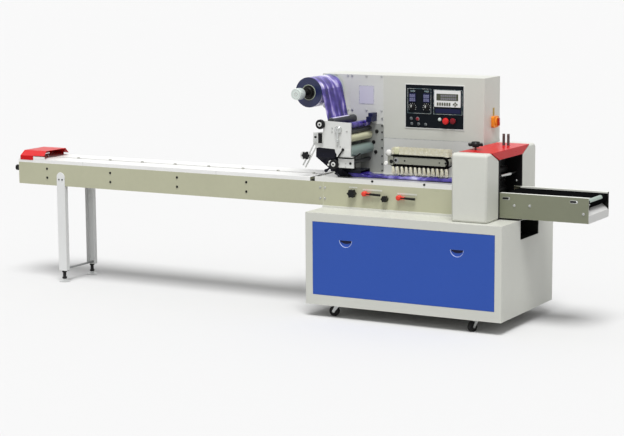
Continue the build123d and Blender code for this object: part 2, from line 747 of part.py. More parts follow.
# Rollers and bars, placed from the cabinet's top left corner
guide_roller_radius = 24.0
tie_bar_radius = 12.0
wrap_radius = 18.0
spindle_radius = 8.0
rubber_radius = 24.0
steel_radius = 34.0
guide_offset = (42.0, 513.0)
wrap_offset = (150.0, 493.0)
dark_bar_offset = (156.0, 458.0)
rubber_offset = (150.0, 418.0)
steel_offset = (150.0, 341.0)
left_tie_offset = (-40.0, 395.0)
lower_bar_offset = (150.0, 270.0)
rear_bracket_across = (-62.0, 30.0)
rear_bracket_half_height = 22.0
roller_end_gap = 4.0


def from_corner(offset):
    """Gives a place from its distances along and above the cabinet's top left corner."""
    return (cab_left + offset[0], cab_top + offset[1])


def spans_from_corner(across, up):
    """Gives the X and Z ends of a block set out from the cabinet's top left corner."""
    return (cab_left + across[0], cab_left + across[1]), (cab_top + up[0], cab_top + up[1])


def face_block(across, up, depth):
    """Adds a block that stands on the plate's front face, or in it where the depth is below 0."""
    x_span, z_span = spans_from_corner(across, up)
    y_ends = sorted((unit_plate_y[0] - depth, unit_plate_y[0]))
    block(x_span, tuple(y_ends), z_span)


guide_place = from_corner(guide_offset)
wrap_place = from_corner(wrap_offset)
rubber_place = from_corner(rubber_offset)
steel_place = from_corner(steel_offset)
left_tie_place = from_corner(left_tie_offset)
rod_heading = radians(-90 - rod_lean)
rod_run = (cos(rod_heading), sin(rod_heading))

with BuildPart() as film_unit_plate:
    with BuildSketch(Plane.XZ.offset(-unit_plate_y[1])) as unit_outline:
        with BuildLine():
            Polyline(*(from_corner(corner) for corner in unit_plate_corners), close=True)
        make_face()
        with Locations(from_corner(ring_knob_offsets[0])):
            Circle(ring_ear_radius)
    extrude(amount=unit_plate_thickness)
    boss_place = from_corner(boss_offset)
    rod_y(*boss_place, boss_radius, (unit_plate_y[0] - boss_depth, unit_plate_y[0]))
    lever_across = (boss_offset[0] - boss_lever_width / 2, boss_offset[0] + boss_lever_width / 2)
    face_block(lever_across, (boss_offset[1] - boss_lever_length, boss_offset[1]), boss_depth)
    face_block(clamp_across, clamp_up, clamp_depth)
    face_block(band_across, band_up, band_depth)
    bracket_y = (unit_plate_y[1] - bracket_thickness, unit_plate_y[1])
    bracket_x, bracket_z = spans_from_corner(bracket_across, bracket_up)
    block(bracket_x, bracket_y, bracket_z)
    ear_x, ear_z = spans_from_corner((bracket_ear_across, bracket_across[0]), bracket_ear_up)
    block(ear_x, bracket_y, ear_z)
    knob_y = (bracket_y[0] - ring_stem_length - ring_knob_depth, bracket_y[0] - ring_stem_length)
    for offset in ring_knob_offsets:
        x, z = from_corner(offset)
        rod_y(x, z, ring_knob_radius, knob_y)
        rod_y(x, z, ring_stem_radius, (knob_y[1], bracket_y[0]))
    rod_middle_y = sum(unit_plate_y) / 2
    for offset in rod_top_offsets:
        top_x, top_z = from_corner(offset)
        middle = (top_x + rod_run[0] * rod_reach / 2, rod_middle_y, top_z + rod_run[1] * rod_reach / 2)
        with Locations(Location(middle, (0, rod_lean, 0))):
            Cylinder(guide_rod_radius, rod_reach)
    star_x = cab_left + rod_top_offsets[0][0] + rod_run[0] * star_knob_drop
    star_z = cab_top + rod_top_offsets[0][1] + rod_run[1] * star_knob_drop
    with Locations(Location((star_x, rod_middle_y, star_z), (0, rod_lean, 0))):
        Box(star_clamp_size, star_clamp_depth, star_clamp_size)
    star_back = rod_middle_y - star_clamp_depth / 2
    rod_y(star_x - star_clamp_size / 2, star_z, star_knob_radius, (star_back - star_knob_depth, star_back))
film_unit_plate.part.label = "film_unit_plate"
export_step(film_unit_plate.part, "parts/film_unit_plate.step")

with BuildPart() as film_unit_bars:
    for offset, radius in (
        (guide_offset, guide_roller_radius), (wrap_offset, wrap_radius), (dark_bar_offset, tie_bar_radius),
        (rubber_offset, spindle_radius), (steel_offset, spindle_radius), (left_tie_offset, tie_bar_radius),
        (lower_bar_offset, tie_bar_radius),
    ):
        rod_y(*from_corner(offset), radius, unit_span)
    rear_up = (left_tie_offset[1] - rear_bracket_half_height, left_tie_offset[1] + rear_bracket_half_height)
    rear_x, rear_z = spans_from_corner(rear_bracket_across, rear_up)
    block(rear_x, (tower_front - unit_plate_thickness, tower_front), rear_z)
film_unit_bars.part.label = "film_unit_bars"
export_step(film_unit_bars.part, "parts/film_unit_bars.step")

roller_y = (unit_span[0] + roller_end_gap, unit_span[1] - roller_end_gap)

with BuildPart() as rubber_roller:
    rod_y(*rubber_place, rubber_radius, roller_y)
    rod_y(*rubber_place, spindle_radius + running_clearance, unit_span, Mode.SUBTRACT)
rubber_roller.part.label = "rubber_roller"
export_step(rubber_roller.part, "parts/rubber_roller.step")

with BuildPart() as steel_roller:
    rod_y(*steel_place, steel_radius, roller_y)
    rod_y(*steel_place, spindle_radius + running_clearance, unit_span, Mode.SUBTRACT)
steel_roller.part.label = "steel_roller"
export_step(steel_roller.part, "parts/steel_roller.step")

# Print mark sensor on the tower beside the wrapped roller
sensor_length = 75.0
sensor_width = 34.0
sensor_height = 30.0
sensor_x = wrap_place[0] + wrap_radius
sensor_z = (wrap_place[1] + wrap_radius / 2, wrap_place[1] + wrap_radius / 2 + sensor_height)

with BuildPart() as mark_sensor:
    block((sensor_x, sensor_x + sensor_width), (tower_front - sensor_length, tower_front), sensor_z)
mark_sensor.part.label = "mark_sensor"
export_step(mark_sensor.part, "parts/mark_sensor.step")

# Film reel: roll on a shaft with a flange behind it and a hand knob in front
film_width = 260.0
film_setback = 263.0
roll_radius = 91.0
core_radius = 38.0
flange_radius = 97.0
flange_thickness = 4.0
shaft_collar_radius = 30.0
shaft_collar_length = 20.0
reel_knob_radius = 33.0
reel_knob_length = 60.0
reel_knob_front = 105.0
film_y = (cab_front + film_setback, cab_front + film_setback + film_width)

with BuildPart() as film_roll:
    rod_y(reel_x, reel_z, roll_radius, film_y)
    rod_y(reel_x, reel_z, core_radius, (film_y[0] - cut_overrun, film_y[1] + cut_overrun), Mode.SUBTRACT)
film_roll.part.label = "film_roll"
export_step(film_roll.part, "parts/film_roll.step")

with BuildPart() as reel_shaft:
    shaft_front = cab_front + reel_knob_front + reel_knob_length
    rod_y(reel_x, reel_z, reel_shaft_radius, (shaft_front, tower_front - seat_gap))
    rod_y(reel_x, reel_z, core_radius, film_y)
    rod_y(reel_x, reel_z, flange_radius, (film_y[1], film_y[1] + flange_thickness))
    rod_y(reel_x, reel_z, shaft_collar_radius, (film_y[0] - shaft_collar_length, film_y[0]))
    rod_y(reel_x, reel_z, reel_knob_radius, (cab_front + reel_knob_front, shaft_front))
reel_shaft.part.label = "reel_shaft"
export_step(reel_shaft.part, "parts/reel_shaft.step")

# Film web: down off the reel, under the guide roller, round the wrapped bar, and back over the tie bar
film_thickness = 1.0
web_gap = 0.2
web_end_rise = 305.0
web_stops = (
    ((reel_x, reel_z), roll_radius + web_gap),
    (guide_place, -(guide_roller_radius + web_gap + film_thickness)),
    (wrap_place, wrap_radius + web_gap),
    (left_tie_place, -(tie_bar_radius + web_gap + film_thickness)))


def round_point(centre, reach, heading):
    """Gives the point on a circle at a heading from its centre."""
    return (centre[0] + reach * cos(heading), centre[1] + reach * sin(heading))


def web_headings():
    """Gives the web's square-on heading over each straight run, the last run going straight down."""
    headings = []
    for (first, first_reach), (second, second_reach) in zip(web_stops, web_stops[1:]):
        across = second[0] - first[0]
        up = second[1] - first[1]
        headings.append(atan2(up, across) + acos((first_reach - second_reach) / hypot(across, up)))
    return headings + [0]


def web_face(lift):
    """Draws one face of the web, at a lift off its path, and gives its two ends."""
    headings = web_headings()
    here = round_point(web_stops[0][0], web_stops[0][1] + lift, headings[0])
    start = here
    for (centre, reach), arrive, leave in zip(web_stops[1:], headings, headings[1:]):
        turned = -((arrive - leave) % (2 * pi)) if reach > 0 else (leave - arrive) % (2 * pi)
        stops = (arrive, arrive + turned / 2, arrive + turned)
        first, middle, last = (round_point(centre, reach + lift, heading) for heading in stops)
        Line(here, first)
        ThreePointArc(first, middle, last)
        here = last
    end = (here[0], cab_top + web_end_rise)
    Line(here, end)
    return start, end


with BuildPart() as film_web:
    with BuildSketch(Plane.XZ.offset(-film_y[1])) as web_path:
        with BuildLine():
            near_start, near_end = web_face(0)
            far_start, far_end = web_face(film_thickness)
            Line(near_start, far_start)
            Line(near_end, far_end)
        make_face()
    extrude(amount=film_width)
film_web.part.label = "film_web"
export_step(film_web.part, "parts/film_web.step")

# Forming box: a thin-walled funnel that folds the web round the product into a tube
former_wall = 4.0
# Each level of the forming box: its rise over the table, left and right ends, and width
former_stations = (
    (0, 45.0, 150.0, 121.0), (47.0, 2.0, 84.0, 176.0), (121.0, -65.0, 64.0, 272.0),
    (144.0, -64.0, 66.0, 272.0), (175.0, -62.0, 92.0, 272.0))
tunnel_across = (78.0, 199.0)
tunnel_height = 44.0
tunnel_clear_height = 40.0
tunnel_side_gap = 0.5
tunnel_entry = 100.0


with BuildPart() as forming_box:
    for rise, left, right, width in former_stations:
        with BuildSketch(Plane.XY.offset(table_top + rise)):
            with Locations((cab_left + (left + right) / 2, line_middle)):
                Rectangle(right - left, width)
    loft(ruled=True)
    tunnel_x = (cab_left + tunnel_across[0], cab_left + tunnel_across[1])
    tunnel_half = tube_width / 2 + tunnel_side_gap
    tunnel_outer = tunnel_half + former_wall
    tunnel_y = (line_middle - tunnel_outer, line_middle + tunnel_outer)
    block(tunnel_x, tunnel_y, (table_top, table_top + tunnel_height))
    former_low = former_stations[0][0] - cut_overrun
    former_high = former_stations[-1][0] + cut_overrun
    inner_rises = (former_low, *(station[0] for station in former_stations[1:-1]), former_high)
    for inner_rise, (rise, left, right, width) in zip(inner_rises, former_stations):
        with BuildSketch(Plane.XY.offset(table_top + inner_rise)):
            with Locations((cab_left + (left + right) / 2, line_middle)):
                Rectangle(right - left - 2 * former_wall, width - 2 * former_wall)
    loft(ruled=True, mode=Mode.SUBTRACT)
    passage_x = (cab_left - tunnel_entry, tunnel_x[1] + cut_overrun)
    passage_y = (line_middle - tunnel_half, line_middle + tunnel_half)
    block(passage_x, passage_y, (table_top - cut_overrun, table_top + tunnel_clear_height), Mode.SUBTRACT)
forming_box.part.label = "forming_box"
export_step(forming_box.part, "parts/forming_box.step")

# Brush unit: side plates with two pulleys, the brush belt round them and its arms to the tower
brush_left = 371.0
brush_right = 777.0
brush_low = 260.0
brush_high = 322.0
belt_thickness = 6.0
brush_width = 56.0
bristle_top_across = (392.0, 764.0)
bristle_length_top = 48.0
bristle_root = 5.0
tuft_across = (459.0, 767.0)
tuft_count = 12
tuft_length = 45.0
tuft_root_share = 0.42
tuft_tip_share = 0.86
frame_core_share = 0.8
brush_plate_across = (417.0, 744.0)
brush_plate_up = (270.0, 312.0)
brush_plate_depth = 4.0
brush_arm_radius = 14.0
brush_arm_inset = 60.0
take_up_across = (344.0, 452.0)
take_up_up = (262.0, 338.0)
take_up_setback = 28.0
take_up_plate = 5.0
take_up_offsets = ((371.0, 328.0), (356.0, 272.0))
take_up_stem_radius = 4.0
take_up_knob_radius = 12.0
take_up_knob_depth = 14.0
brush_x = (cab_left + brush_left, cab_left + brush_right)
brush_z = (cab_top + brush_low, cab_top + brush_high)
brush_y = (line_middle - brush_width / 2, line_middle + brush_width / 2)
brush_radius = (brush_z[1] - brush_z[0]) / 2
pulley_radius = brush_radius - belt_thickness
brush_middle_z = (brush_z[0] + brush_z[1]) / 2
pulley_x = (brush_x[0] + brush_radius, brush_x[1] - brush_radius)
brush_middle_x = (pulley_x[0] + pulley_x[1]) / 2
tuft_pitch = (tuft_across[1] - tuft_across[0]) / tuft_count
tuft_root_z = brush_z[0] + bristle_root
tuft_tip_z = brush_z[0] - tuft_length

with BuildPart() as brush_belt:
    with BuildSketch(Plane.XZ.offset(-brush_y[1])) as belt_outline:
        with Locations((brush_middle_x, brush_middle_z)):
            SlotCenterToCenter(pulley_x[1] - pulley_x[0], 2 * brush_radius)
            SlotCenterToCenter(pulley_x[1] - pulley_x[0], 2 * pulley_radius, mode=Mode.SUBTRACT)
    extrude(amount=brush_width)
    bristle_x = (cab_left + bristle_top_across[0], cab_left + bristle_top_across[1])
    block(bristle_x, brush_y, (brush_z[1] - bristle_root, brush_z[1] + bristle_length_top))
    with BuildSketch(Plane.XZ.offset(-brush_y[1])) as tuft_fans:
        for index in range(tuft_count):
            tuft_x = cab_left + tuft_across[0] + tuft_pitch / 2 + index * tuft_pitch
            root_half = tuft_pitch * tuft_root_share / 2
            tip_half = tuft_pitch * tuft_tip_share / 2
            with BuildLine():
                Polyline(
                    (tuft_x - root_half, tuft_root_z), (tuft_x + root_half, tuft_root_z),
                    (tuft_x + tip_half, tuft_tip_z), (tuft_x - tip_half, tuft_tip_z), close=True)
            make_face()
    extrude(amount=brush_width)
brush_belt.part.label = "brush_belt"
export_step(brush_belt.part, "parts/brush_belt.step")

with BuildPart() as brush_frame:
    for x in pulley_x:
        rod_y(x, brush_middle_z, pulley_radius, brush_y)
    core_half_height = pulley_radius * frame_core_share
    block(pulley_x, brush_y, (brush_middle_z - core_half_height, brush_middle_z + core_half_height))
    side_x, side_z = spans_from_corner(brush_plate_across, brush_plate_up)
    block(side_x, (brush_y[0] - brush_plate_depth, brush_y[0]), side_z)
    for arm_x in (pulley_x[0] + brush_arm_inset, pulley_x[1] - brush_arm_inset):
        rod_y(arm_x, brush_middle_z, brush_arm_radius, (brush_y[1], tower_front))
    take_up_x, take_up_z = spans_from_corner(take_up_across, take_up_up)
    take_up_y = (brush_y[1] + take_up_setback, brush_y[1] + take_up_setback + take_up_plate)
    block(take_up_x, take_up_y, take_up_z)
    for offset in take_up_offsets:
        knob_front = brush_y[0] - take_up_knob_depth
        rod_y(*from_corner(offset), take_up_stem_radius, (brush_y[0], take_up_y[0]))
        rod_y(*from_corner(offset), take_up_knob_radius, (knob_front, brush_y[0]))
brush_frame.part.label = "brush_frame"
export_step(brush_frame.part, "parts/brush_frame.step")

# Sealing housing: a front and a rear column, frame plates between them, and a red cover
column_front = 50.0
column_corner = 26.0
column_slope_run = 56.0
column_slope_drop = 46.0
cover_thickness = 3.0
seal_top = cab_top + seal_height
frame_x = (seal_left + frame_inset, seal_right)
frame_front_y = (line_front, line_front + plate)
frame_back_y = (line_back, line_back + plate)


def column_outline(low, high, left, right):
    """Gives the sealing housing's side view: upright, with a sloped right shoulder."""
    return (
        (left, low), (right, low), (right, high - column_slope_drop),
        (right - column_slope_run, high), (left, high))


with BuildPart() as seal_front_column:
    with BuildSketch(Plane.XZ.offset(-line_front)) as front_column_side:
        with BuildLine():
            Polyline(*column_outline(cab_top, seal_top, seal_left, seal_right), close=True)
        make_face()
    extrude(amount=line_setback - column_front)
    outer_edges = seal_front_column.faces().sort_by(Axis.Y)[0].edges()
    fillet(outer_edges.filter_by(Axis.Z), column_corner)
    fillet(seal_front_column.edges().filter_by(Axis.Y).sort_by(Axis.Z)[-2:].sort_by(Axis.X)[0], column_corner)
seal_front_column.part.label = "seal_front_column"
export_step(seal_front_column.part, "parts/seal_front_column.step")

with BuildPart() as seal_rear_column:
    with BuildSketch(Plane.XZ.offset(-cab_back)) as rear_column_side:
        with BuildLine():
            Polyline(*column_outline(cab_top, seal_top, seal_left, seal_right), close=True)
        make_face()
    extrude(amount=cab_back - frame_back_y[1])
    fillet(seal_rear_column.faces().sort_by(Axis.Y)[-1].edges().filter_by(Axis.Z), column_corner)
seal_rear_column.part.label = "seal_rear_column"
export_step(seal_rear_column.part, "parts/seal_rear_column.step")

# Frame plates that carry the two jaw shafts
jaw_station = 110.0
jaw_upper_rise = 255.0
jaw_lower_rise = 135.0
jaw_shaft_radius = 12.0
jaw_x = seal_left + jaw_station
jaw_upper_z = cab_top + jaw_upper_rise
jaw_lower_z = cab_top + jaw_lower_rise
plate_top = seal_top - cover_thickness

with BuildPart() as seal_frame_plates:
    for plate_y in (frame_front_y, frame_back_y):
        with BuildSketch(Plane.XZ.offset(-plate_y[1])) as frame_plate_side:
            with BuildLine():
                Polyline(*column_outline(cab_top, plate_top, frame_x[0], frame_x[1]), close=True)
            make_face()
            with Locations((jaw_x, jaw_upper_z), (jaw_x, jaw_lower_z)):
                Circle(jaw_shaft_radius + running_clearance, mode=Mode.SUBTRACT)
        extrude(amount=plate)
seal_frame_plates.part.label = "seal_frame_plates"
export_step(seal_frame_plates.part, "parts/seal_frame_plates.step")

with BuildPart() as seal_cover:
    with BuildSketch(Plane.XZ.offset(-frame_back_y[1])) as cover_profile:
        with BuildLine():
            slope_end = (frame_x[1], plate_top - column_slope_drop)
            slope_start = (frame_x[1] - column_slope_run, plate_top)
            Polyline(
                (frame_x[0], plate_top), slope_start, slope_end,
                (slope_end[0], slope_end[1] + cover_thickness), (slope_start[0], seal_top),
                (frame_x[0], seal_top), close=True)
        make_face()
    extrude(amount=frame_back_y[1] - frame_front_y[0])
seal_cover.part.label = "seal_cover"
export_step(seal_cover.part, "parts/seal_cover.step")

# Jaw rotors: a shaft with two crimp bars, one rotor above the film and one below
jaw_reach = 57.0
jaw_hub_radius = 27.0
jaw_bar_width = 26.0
jaw_side_gap = 10.0
jaw_y = (frame_front_y[1] + jaw_side_gap, frame_back_y[0] - jaw_side_gap)

for jaw_name, jaw_z in (("jaw_upper", jaw_upper_z), ("jaw_lower", jaw_lower_z)):
    with BuildPart() as jaw_rotor:
        rod_y(jaw_x, jaw_z, jaw_shaft_radius, (frame_front_y[0], frame_back_y[1]))
        rod_y(jaw_x, jaw_z, jaw_hub_radius, jaw_y)
        bar_x = (jaw_x - jaw_bar_width / 2, jaw_x + jaw_bar_width / 2)
        block(bar_x, jaw_y, (jaw_z - jaw_reach, jaw_z + jaw_reach))
    jaw_rotor.part.label = jaw_name
    export_step(jaw_rotor.part, f"parts/{jaw_name}.step")

# Pressure screws on the sealing cover: a hand knob in front and two spring posts behind
pressure_knob_station = 56.0
pressure_knob_setback = 35.0
pressure_stud_radius = 6.0
pressure_stud_rise = 22.0
pressure_knob_rise = 14.0
pressure_neck_radius = 18.0
pressure_neck_spread = 4.0
pressure_neck_height = 8.0
pressure_head_height = 14.0
pressure_knob_radius = 46.0
pressure_cap_radius = 28.0
pressure_cap_draft = 6.0
pressure_cap_height = 10.0
knob_lobe_count = 6
knob_core_share = 0.8
knob_lobe_share = 0.2
post_setback = 27.0
post_radius = 8.0
post_rise = 69.0
post_stations = (115.0, 144.0)
pressure_knob_x = seal_left + pressure_knob_station
pressure_knob_y = line_front + pressure_knob_setback
post_y = line_back - post_setback

with BuildPart() as spring_posts:
    for station in post_stations:
        rod((seal_left + station, post_y, seal_top + post_rise / 2), post_radius, post_rise, along_z)
    stud_length = pressure_stud_rise + pressure_knob_rise
    stud_centre = (pressure_knob_x, pressure_knob_y, seal_top + stud_length / 2)
    rod(stud_centre, pressure_stud_radius, stud_length, along_z)
spring_posts.part.label = "spring_posts"
export_step(spring_posts.part, "parts/spring_posts.step")


def lobed_outline(radius):
    """Draws a hand knob's outline: a round core with lobes about it."""
    Circle(radius * knob_core_share)
    with PolarLocations(radius * knob_core_share, knob_lobe_count):
        Circle(radius * knob_lobe_share)


with BuildPart() as pressure_knob:
    knob_low = seal_top + pressure_knob_rise
    neck_middle = (pressure_knob_x, pressure_knob_y, knob_low + pressure_neck_height / 2)
    with Locations(neck_middle):
        Cone(pressure_neck_radius, pressure_neck_radius + pressure_neck_spread, pressure_neck_height)
    head_plane = Plane(origin=(pressure_knob_x, pressure_knob_y, knob_low + pressure_neck_height))
    with BuildSketch(head_plane) as knob_lobes:
        lobed_outline(pressure_knob_radius)
    extrude(amount=pressure_head_height)
    cap_low = knob_low + pressure_neck_height + pressure_head_height
    with Locations((pressure_knob_x, pressure_knob_y, cap_low + pressure_cap_height / 2)):
        Cone(pressure_cap_radius, pressure_cap_radius - pressure_cap_draft, pressure_cap_height)
    bore_height = 2 * (pressure_stud_rise + seat_gap)
    bore_radius = pressure_stud_radius + running_clearance
    rod((pressure_knob_x, pressure_knob_y, knob_low), bore_radius, bore_height, along_z, Mode.SUBTRACT)
pressure_knob.part.label = "pressure_knob"
export_step(pressure_knob.part, "parts/pressure_knob.step")

# Hand knobs on the front plate's studs
hand_knob_radius = 26.0
hand_knob_small_radius = 20.0
hand_knob_depth = 30.0
stud_bore_y = (line_front - control_stud_length - seat_gap, line_front)
knob_back = line_front - seat_gap

for name, radius in (("knob_left", hand_knob_radius), ("knob_right", hand_knob_small_radius)):
    x, z = control_places[name]
    with BuildPart() as hand_knob:
        with BuildSketch(Plane.XZ.offset(-knob_back)) as hand_lobes:
            with Locations((x, z)):
                lobed_outline(radius)
        extrude(amount=hand_knob_depth)
        rod_y(x, z, control_stud_radius + running_clearance, stud_bore_y, Mode.SUBTRACT)
    hand_knob.part.label = name
    export_step(hand_knob.part, f"parts/{name}.step")

# Clamp levers on the front plate's studs
lever_hub_radius = 13.0
lever_hub_depth = 28.0
lever_reach = 108.0
lever_bar_radius = 5.5
lever_bar_setback = 20.0

for name in ("lever_left", "lever_right"):
    x, z = control_places[name]
    with BuildPart() as clamp_lever:
        rod_y(x, z, lever_hub_radius, (knob_back - lever_hub_depth, knob_back))
        bar_centre = (x + lever_reach / 2, knob_back - lever_bar_setback, z)
        rod(bar_centre, lever_bar_radius, lever_reach, along_x)
        rod_y(x, z, control_stud_radius + running_clearance, stud_bore_y, Mode.SUBTRACT)
    clamp_lever.part.label = name
    export_step(clamp_lever.part, f"parts/{name}.step")

# Width knob on the screw in the beam's left end
width_knob_radius = 19.0

with BuildPart() as width_knob:
    knob_centre = (width_knob_left + width_knob_depth / 2, width_knob_y, width_knob_z)
    rod(knob_centre, width_knob_radius, width_knob_depth, along_x)
    bore_x = (width_screw_x[0] - seat_gap, width_knob_left + width_knob_depth + cut_overrun)
    bore_centre = (sum(bore_x) / 2, width_knob_y, width_knob_z)
    bore_radius = width_screw_radius + running_clearance
    rod(bore_centre, bore_radius, bore_x[1] - bore_x[0], along_x, Mode.SUBTRACT)
width_knob.part.label = "width_knob"
export_step(width_knob.part, "parts/width_knob.step")

# Exit conveyor: thin side plates with a folded top edge, rollers, belt and a tray
exit_start = 160.0
exit_rise = 12.0
exit_sheet = 3.0
exit_height = 144.0
exit_flange = 12.0
exit_roller_radius = 24.0
exit_belt_thickness = 2.0
exit_belt_drop = 14.0
exit_side_gap = 4.0
exit_roller_inset = 34.0
exit_low = cab_top + exit_rise
exit_x = (cab_right - exit_start, cab_right + exit_overhang)
exit_y = (line_front + plate, line_back)
exit_top = exit_low + exit_height
exit_roller_z = exit_top - exit_belt_drop - exit_belt_thickness - exit_roller_radius
exit_roller_x = (exit_x[0] + exit_roller_inset, exit_x[1] - exit_roller_inset)

with BuildPart() as exit_side_plates:
    for wall_y, flange_y in (
        ((exit_y[0], exit_y[0] + exit_sheet), (exit_y[0], exit_y[0] + exit_flange)),
        ((exit_y[1] - exit_sheet, exit_y[1]), (exit_y[1] - exit_flange, exit_y[1])),
    ):
        block(exit_x, wall_y, (exit_low, exit_top))
        block(exit_x, flange_y, (exit_top - exit_sheet, exit_top))
exit_side_plates.part.label = "exit_side_plates"
export_step(exit_side_plates.part, "parts/exit_side_plates.step")

exit_inner = (exit_y[0] + exit_sheet, exit_y[1] - exit_sheet)
exit_belt_y = (exit_inner[0] + exit_side_gap, exit_inner[1] - exit_side_gap)

with BuildPart() as exit_rollers:
    for x in exit_roller_x:
        rod_y(x, exit_roller_z, exit_roller_radius, exit_belt_y)
        rod_y(x, exit_roller_z, spindle_radius, exit_inner)
exit_rollers.part.label = "exit_rollers"
export_step(exit_rollers.part, "parts/exit_rollers.step")

with BuildPart() as exit_belt:
    exit_span = exit_roller_x[1] - exit_roller_x[0]
    with BuildSketch(Plane.XZ.offset(-exit_belt_y[1])) as exit_belt_outline:
        with Locations((sum(exit_roller_x) / 2, exit_roller_z)):
            SlotCenterToCenter(exit_span, 2 * (exit_roller_radius + exit_belt_thickness))
            SlotCenterToCenter(exit_span, 2 * exit_roller_radius, mode=Mode.SUBTRACT)
    extrude(amount=exit_belt_y[1] - exit_belt_y[0])
exit_belt.part.label = "exit_belt"
export_step(exit_belt.part, "parts/exit_belt.step")

tray_length = 120.0
tray_rise_low = 38.0
tray_rise_high = 62.0
tray_sheet = 3.0

with BuildPart() as exit_tray:
    with BuildSketch(Plane.XZ.offset(-exit_inner[1])) as tray_profile:
        with BuildLine():
            Polyline(
                (exit_x[1] - tray_length, exit_low + tray_rise_high), (exit_x[1], exit_low + tray_rise_low),
                (exit_x[1], exit_low + tray_rise_low - tray_sheet),
                (exit_x[1] - tray_length, exit_low + tray_rise_high - tray_sheet), close=True)
        make_face()
    extrude(amount=exit_inner[1] - exit_inner[0])
exit_tray.part.label = "exit_tray"
export_step(exit_tray.part, "parts/exit_tray.step")
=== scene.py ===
from math import cos, pi, radians, sin, tau

import bmesh
import bpy
from mathutils import Matrix, Vector


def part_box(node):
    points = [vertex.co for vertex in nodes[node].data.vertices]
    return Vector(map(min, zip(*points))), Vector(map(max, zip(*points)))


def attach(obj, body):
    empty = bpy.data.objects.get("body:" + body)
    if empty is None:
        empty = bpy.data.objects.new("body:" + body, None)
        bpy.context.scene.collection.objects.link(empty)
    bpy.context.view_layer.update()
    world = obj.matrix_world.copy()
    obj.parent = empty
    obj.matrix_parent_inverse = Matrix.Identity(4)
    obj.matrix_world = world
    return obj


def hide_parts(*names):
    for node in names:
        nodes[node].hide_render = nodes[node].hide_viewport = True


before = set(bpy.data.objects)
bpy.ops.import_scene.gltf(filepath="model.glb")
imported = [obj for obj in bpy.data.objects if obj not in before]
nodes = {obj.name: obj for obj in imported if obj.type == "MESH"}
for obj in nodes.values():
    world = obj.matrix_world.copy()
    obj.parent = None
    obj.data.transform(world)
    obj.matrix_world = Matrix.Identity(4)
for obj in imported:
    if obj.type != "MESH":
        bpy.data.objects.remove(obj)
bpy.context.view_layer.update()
mm = 0.001
ROOT = "machine_frame"

# Camera: the photograph's viewpoint, lens and tilt
camera_place = Vector((5.510, -9.580, 2.189))
camera_yaw = radians(29.188)
camera_pitch = radians(8.623)
camera_roll = radians(-0.382)
camera_lens = 104.0
camera_film_width = 36.0


def place_camera():
    """Looks along the fitted direction, rolled a little about it."""
    level = cos(camera_pitch)
    forward = Vector((-sin(camera_yaw) * level, cos(camera_yaw) * level, -sin(camera_pitch)))
    level_right = Vector((cos(camera_yaw), sin(camera_yaw), 0.0))
    level_up = level_right.cross(forward)
    right = cos(camera_roll) * level_right + sin(camera_roll) * level_up
    up = cos(camera_roll) * level_up - sin(camera_roll) * level_right
    turn = Matrix((right, up, -forward)).transposed().to_4x4()
    lens = bpy.data.cameras.new("viewpoint")
    lens.lens = camera_lens
    lens.sensor_width = camera_film_width
    lens.clip_end = 300.0
    viewpoint = bpy.data.objects.new("viewpoint", lens)
    viewpoint.matrix_world = Matrix.Translation(camera_place) @ turn
    bpy.context.scene.collection.objects.link(viewpoint)
    bpy.context.scene.camera = viewpoint


# Short ways to write a node tree


def feed(tree, socket, value):
    """Links an output to a socket, or sets the socket's own value."""
    if isinstance(value, bpy.types.NodeSocket):
        tree.links.new(value, socket)
    else:
        socket.default_value = value


def add_node(tree, kind, sockets=None, **settings):
    """Adds a node, sets its properties, and fills its inputs with values or with other outputs."""
    made = tree.nodes.new(kind)
    for key, value in settings.items():
        setattr(made, key, value)
    for name, value in (sockets or {}).items():
        feed(tree, made.inputs[name], value)
    return made


def calculate(tree, operation, first, second=0.0, clamp=False):
    """Adds a Math node and gives its output."""
    sockets = {0: first, 1: second}
    return add_node(tree, "ShaderNodeMath", sockets, operation=operation, use_clamp=clamp).outputs[0]


def reckon(tree, operation, first, second):
    """Adds a Vector Math node and gives its vector."""
    return add_node(tree, "ShaderNodeVectorMath", {0: first, 1: second}, operation=operation).outputs[0]


def blend_colours(tree, factor, first, second):
    """Mixes two colours by a factor, which may be a mask."""
    return add_node(tree, "ShaderNodeMix", {0: factor, 6: first, 7: second}, data_type="RGBA").outputs[2]


def ramp(tree, value, stops):
    """Maps a value over colours given as (position, colour)."""
    node = add_node(tree, "ShaderNodeValToRGB", {"Fac": value})
    elements = node.color_ramp.elements
    while len(elements) < len(stops):
        elements.new(0.5)
    for element, (position, colour) in zip(elements, stops):
        element.position = position
        element.color = colour
    return node.outputs["Color"]


def noise(tree, place, scale, detail):
    """Adds a noise and gives its level."""
    sockets = {"Vector": place, "Scale": scale, "Detail": detail}
    return add_node(tree, "ShaderNodeTexNoise", sockets).outputs["Fac"]


def object_place(tree):
    """Gives the place on the object."""
    return add_node(tree, "ShaderNodeTexCoord").outputs["Object"]


def shader_group(name, inputs, outputs):
    """Starts a shader node group, and gives its tree, its inputs' outputs and its output node."""
    tree = bpy.data.node_groups.new(name, "ShaderNodeTree")
    for socket_name, kind, value in inputs:
        socket = tree.interface.new_socket(name=socket_name, in_out="INPUT", socket_type=kind)
        socket.default_value = value
    for socket_name, kind in outputs:
        tree.interface.new_socket(name=socket_name, in_out="OUTPUT", socket_type=kind)
    return tree, tree.nodes.new("NodeGroupInput").outputs, tree.nodes.new("NodeGroupOutput").inputs


FLOAT = "NodeSocketFloat"
COLOUR = "NodeSocketColor"
VECTOR = "NodeSocketVector"


def linear(red, green, blue):
    """Turns screen values from 0 to 255 into a linear colour."""
    shares = (value / 255.0 for value in (red, green, blue))
    return (*(s / 12.92 if s <= 0.04045 else ((s + 0.055) / 1.055) ** 2.4 for s in shares), 1.0)


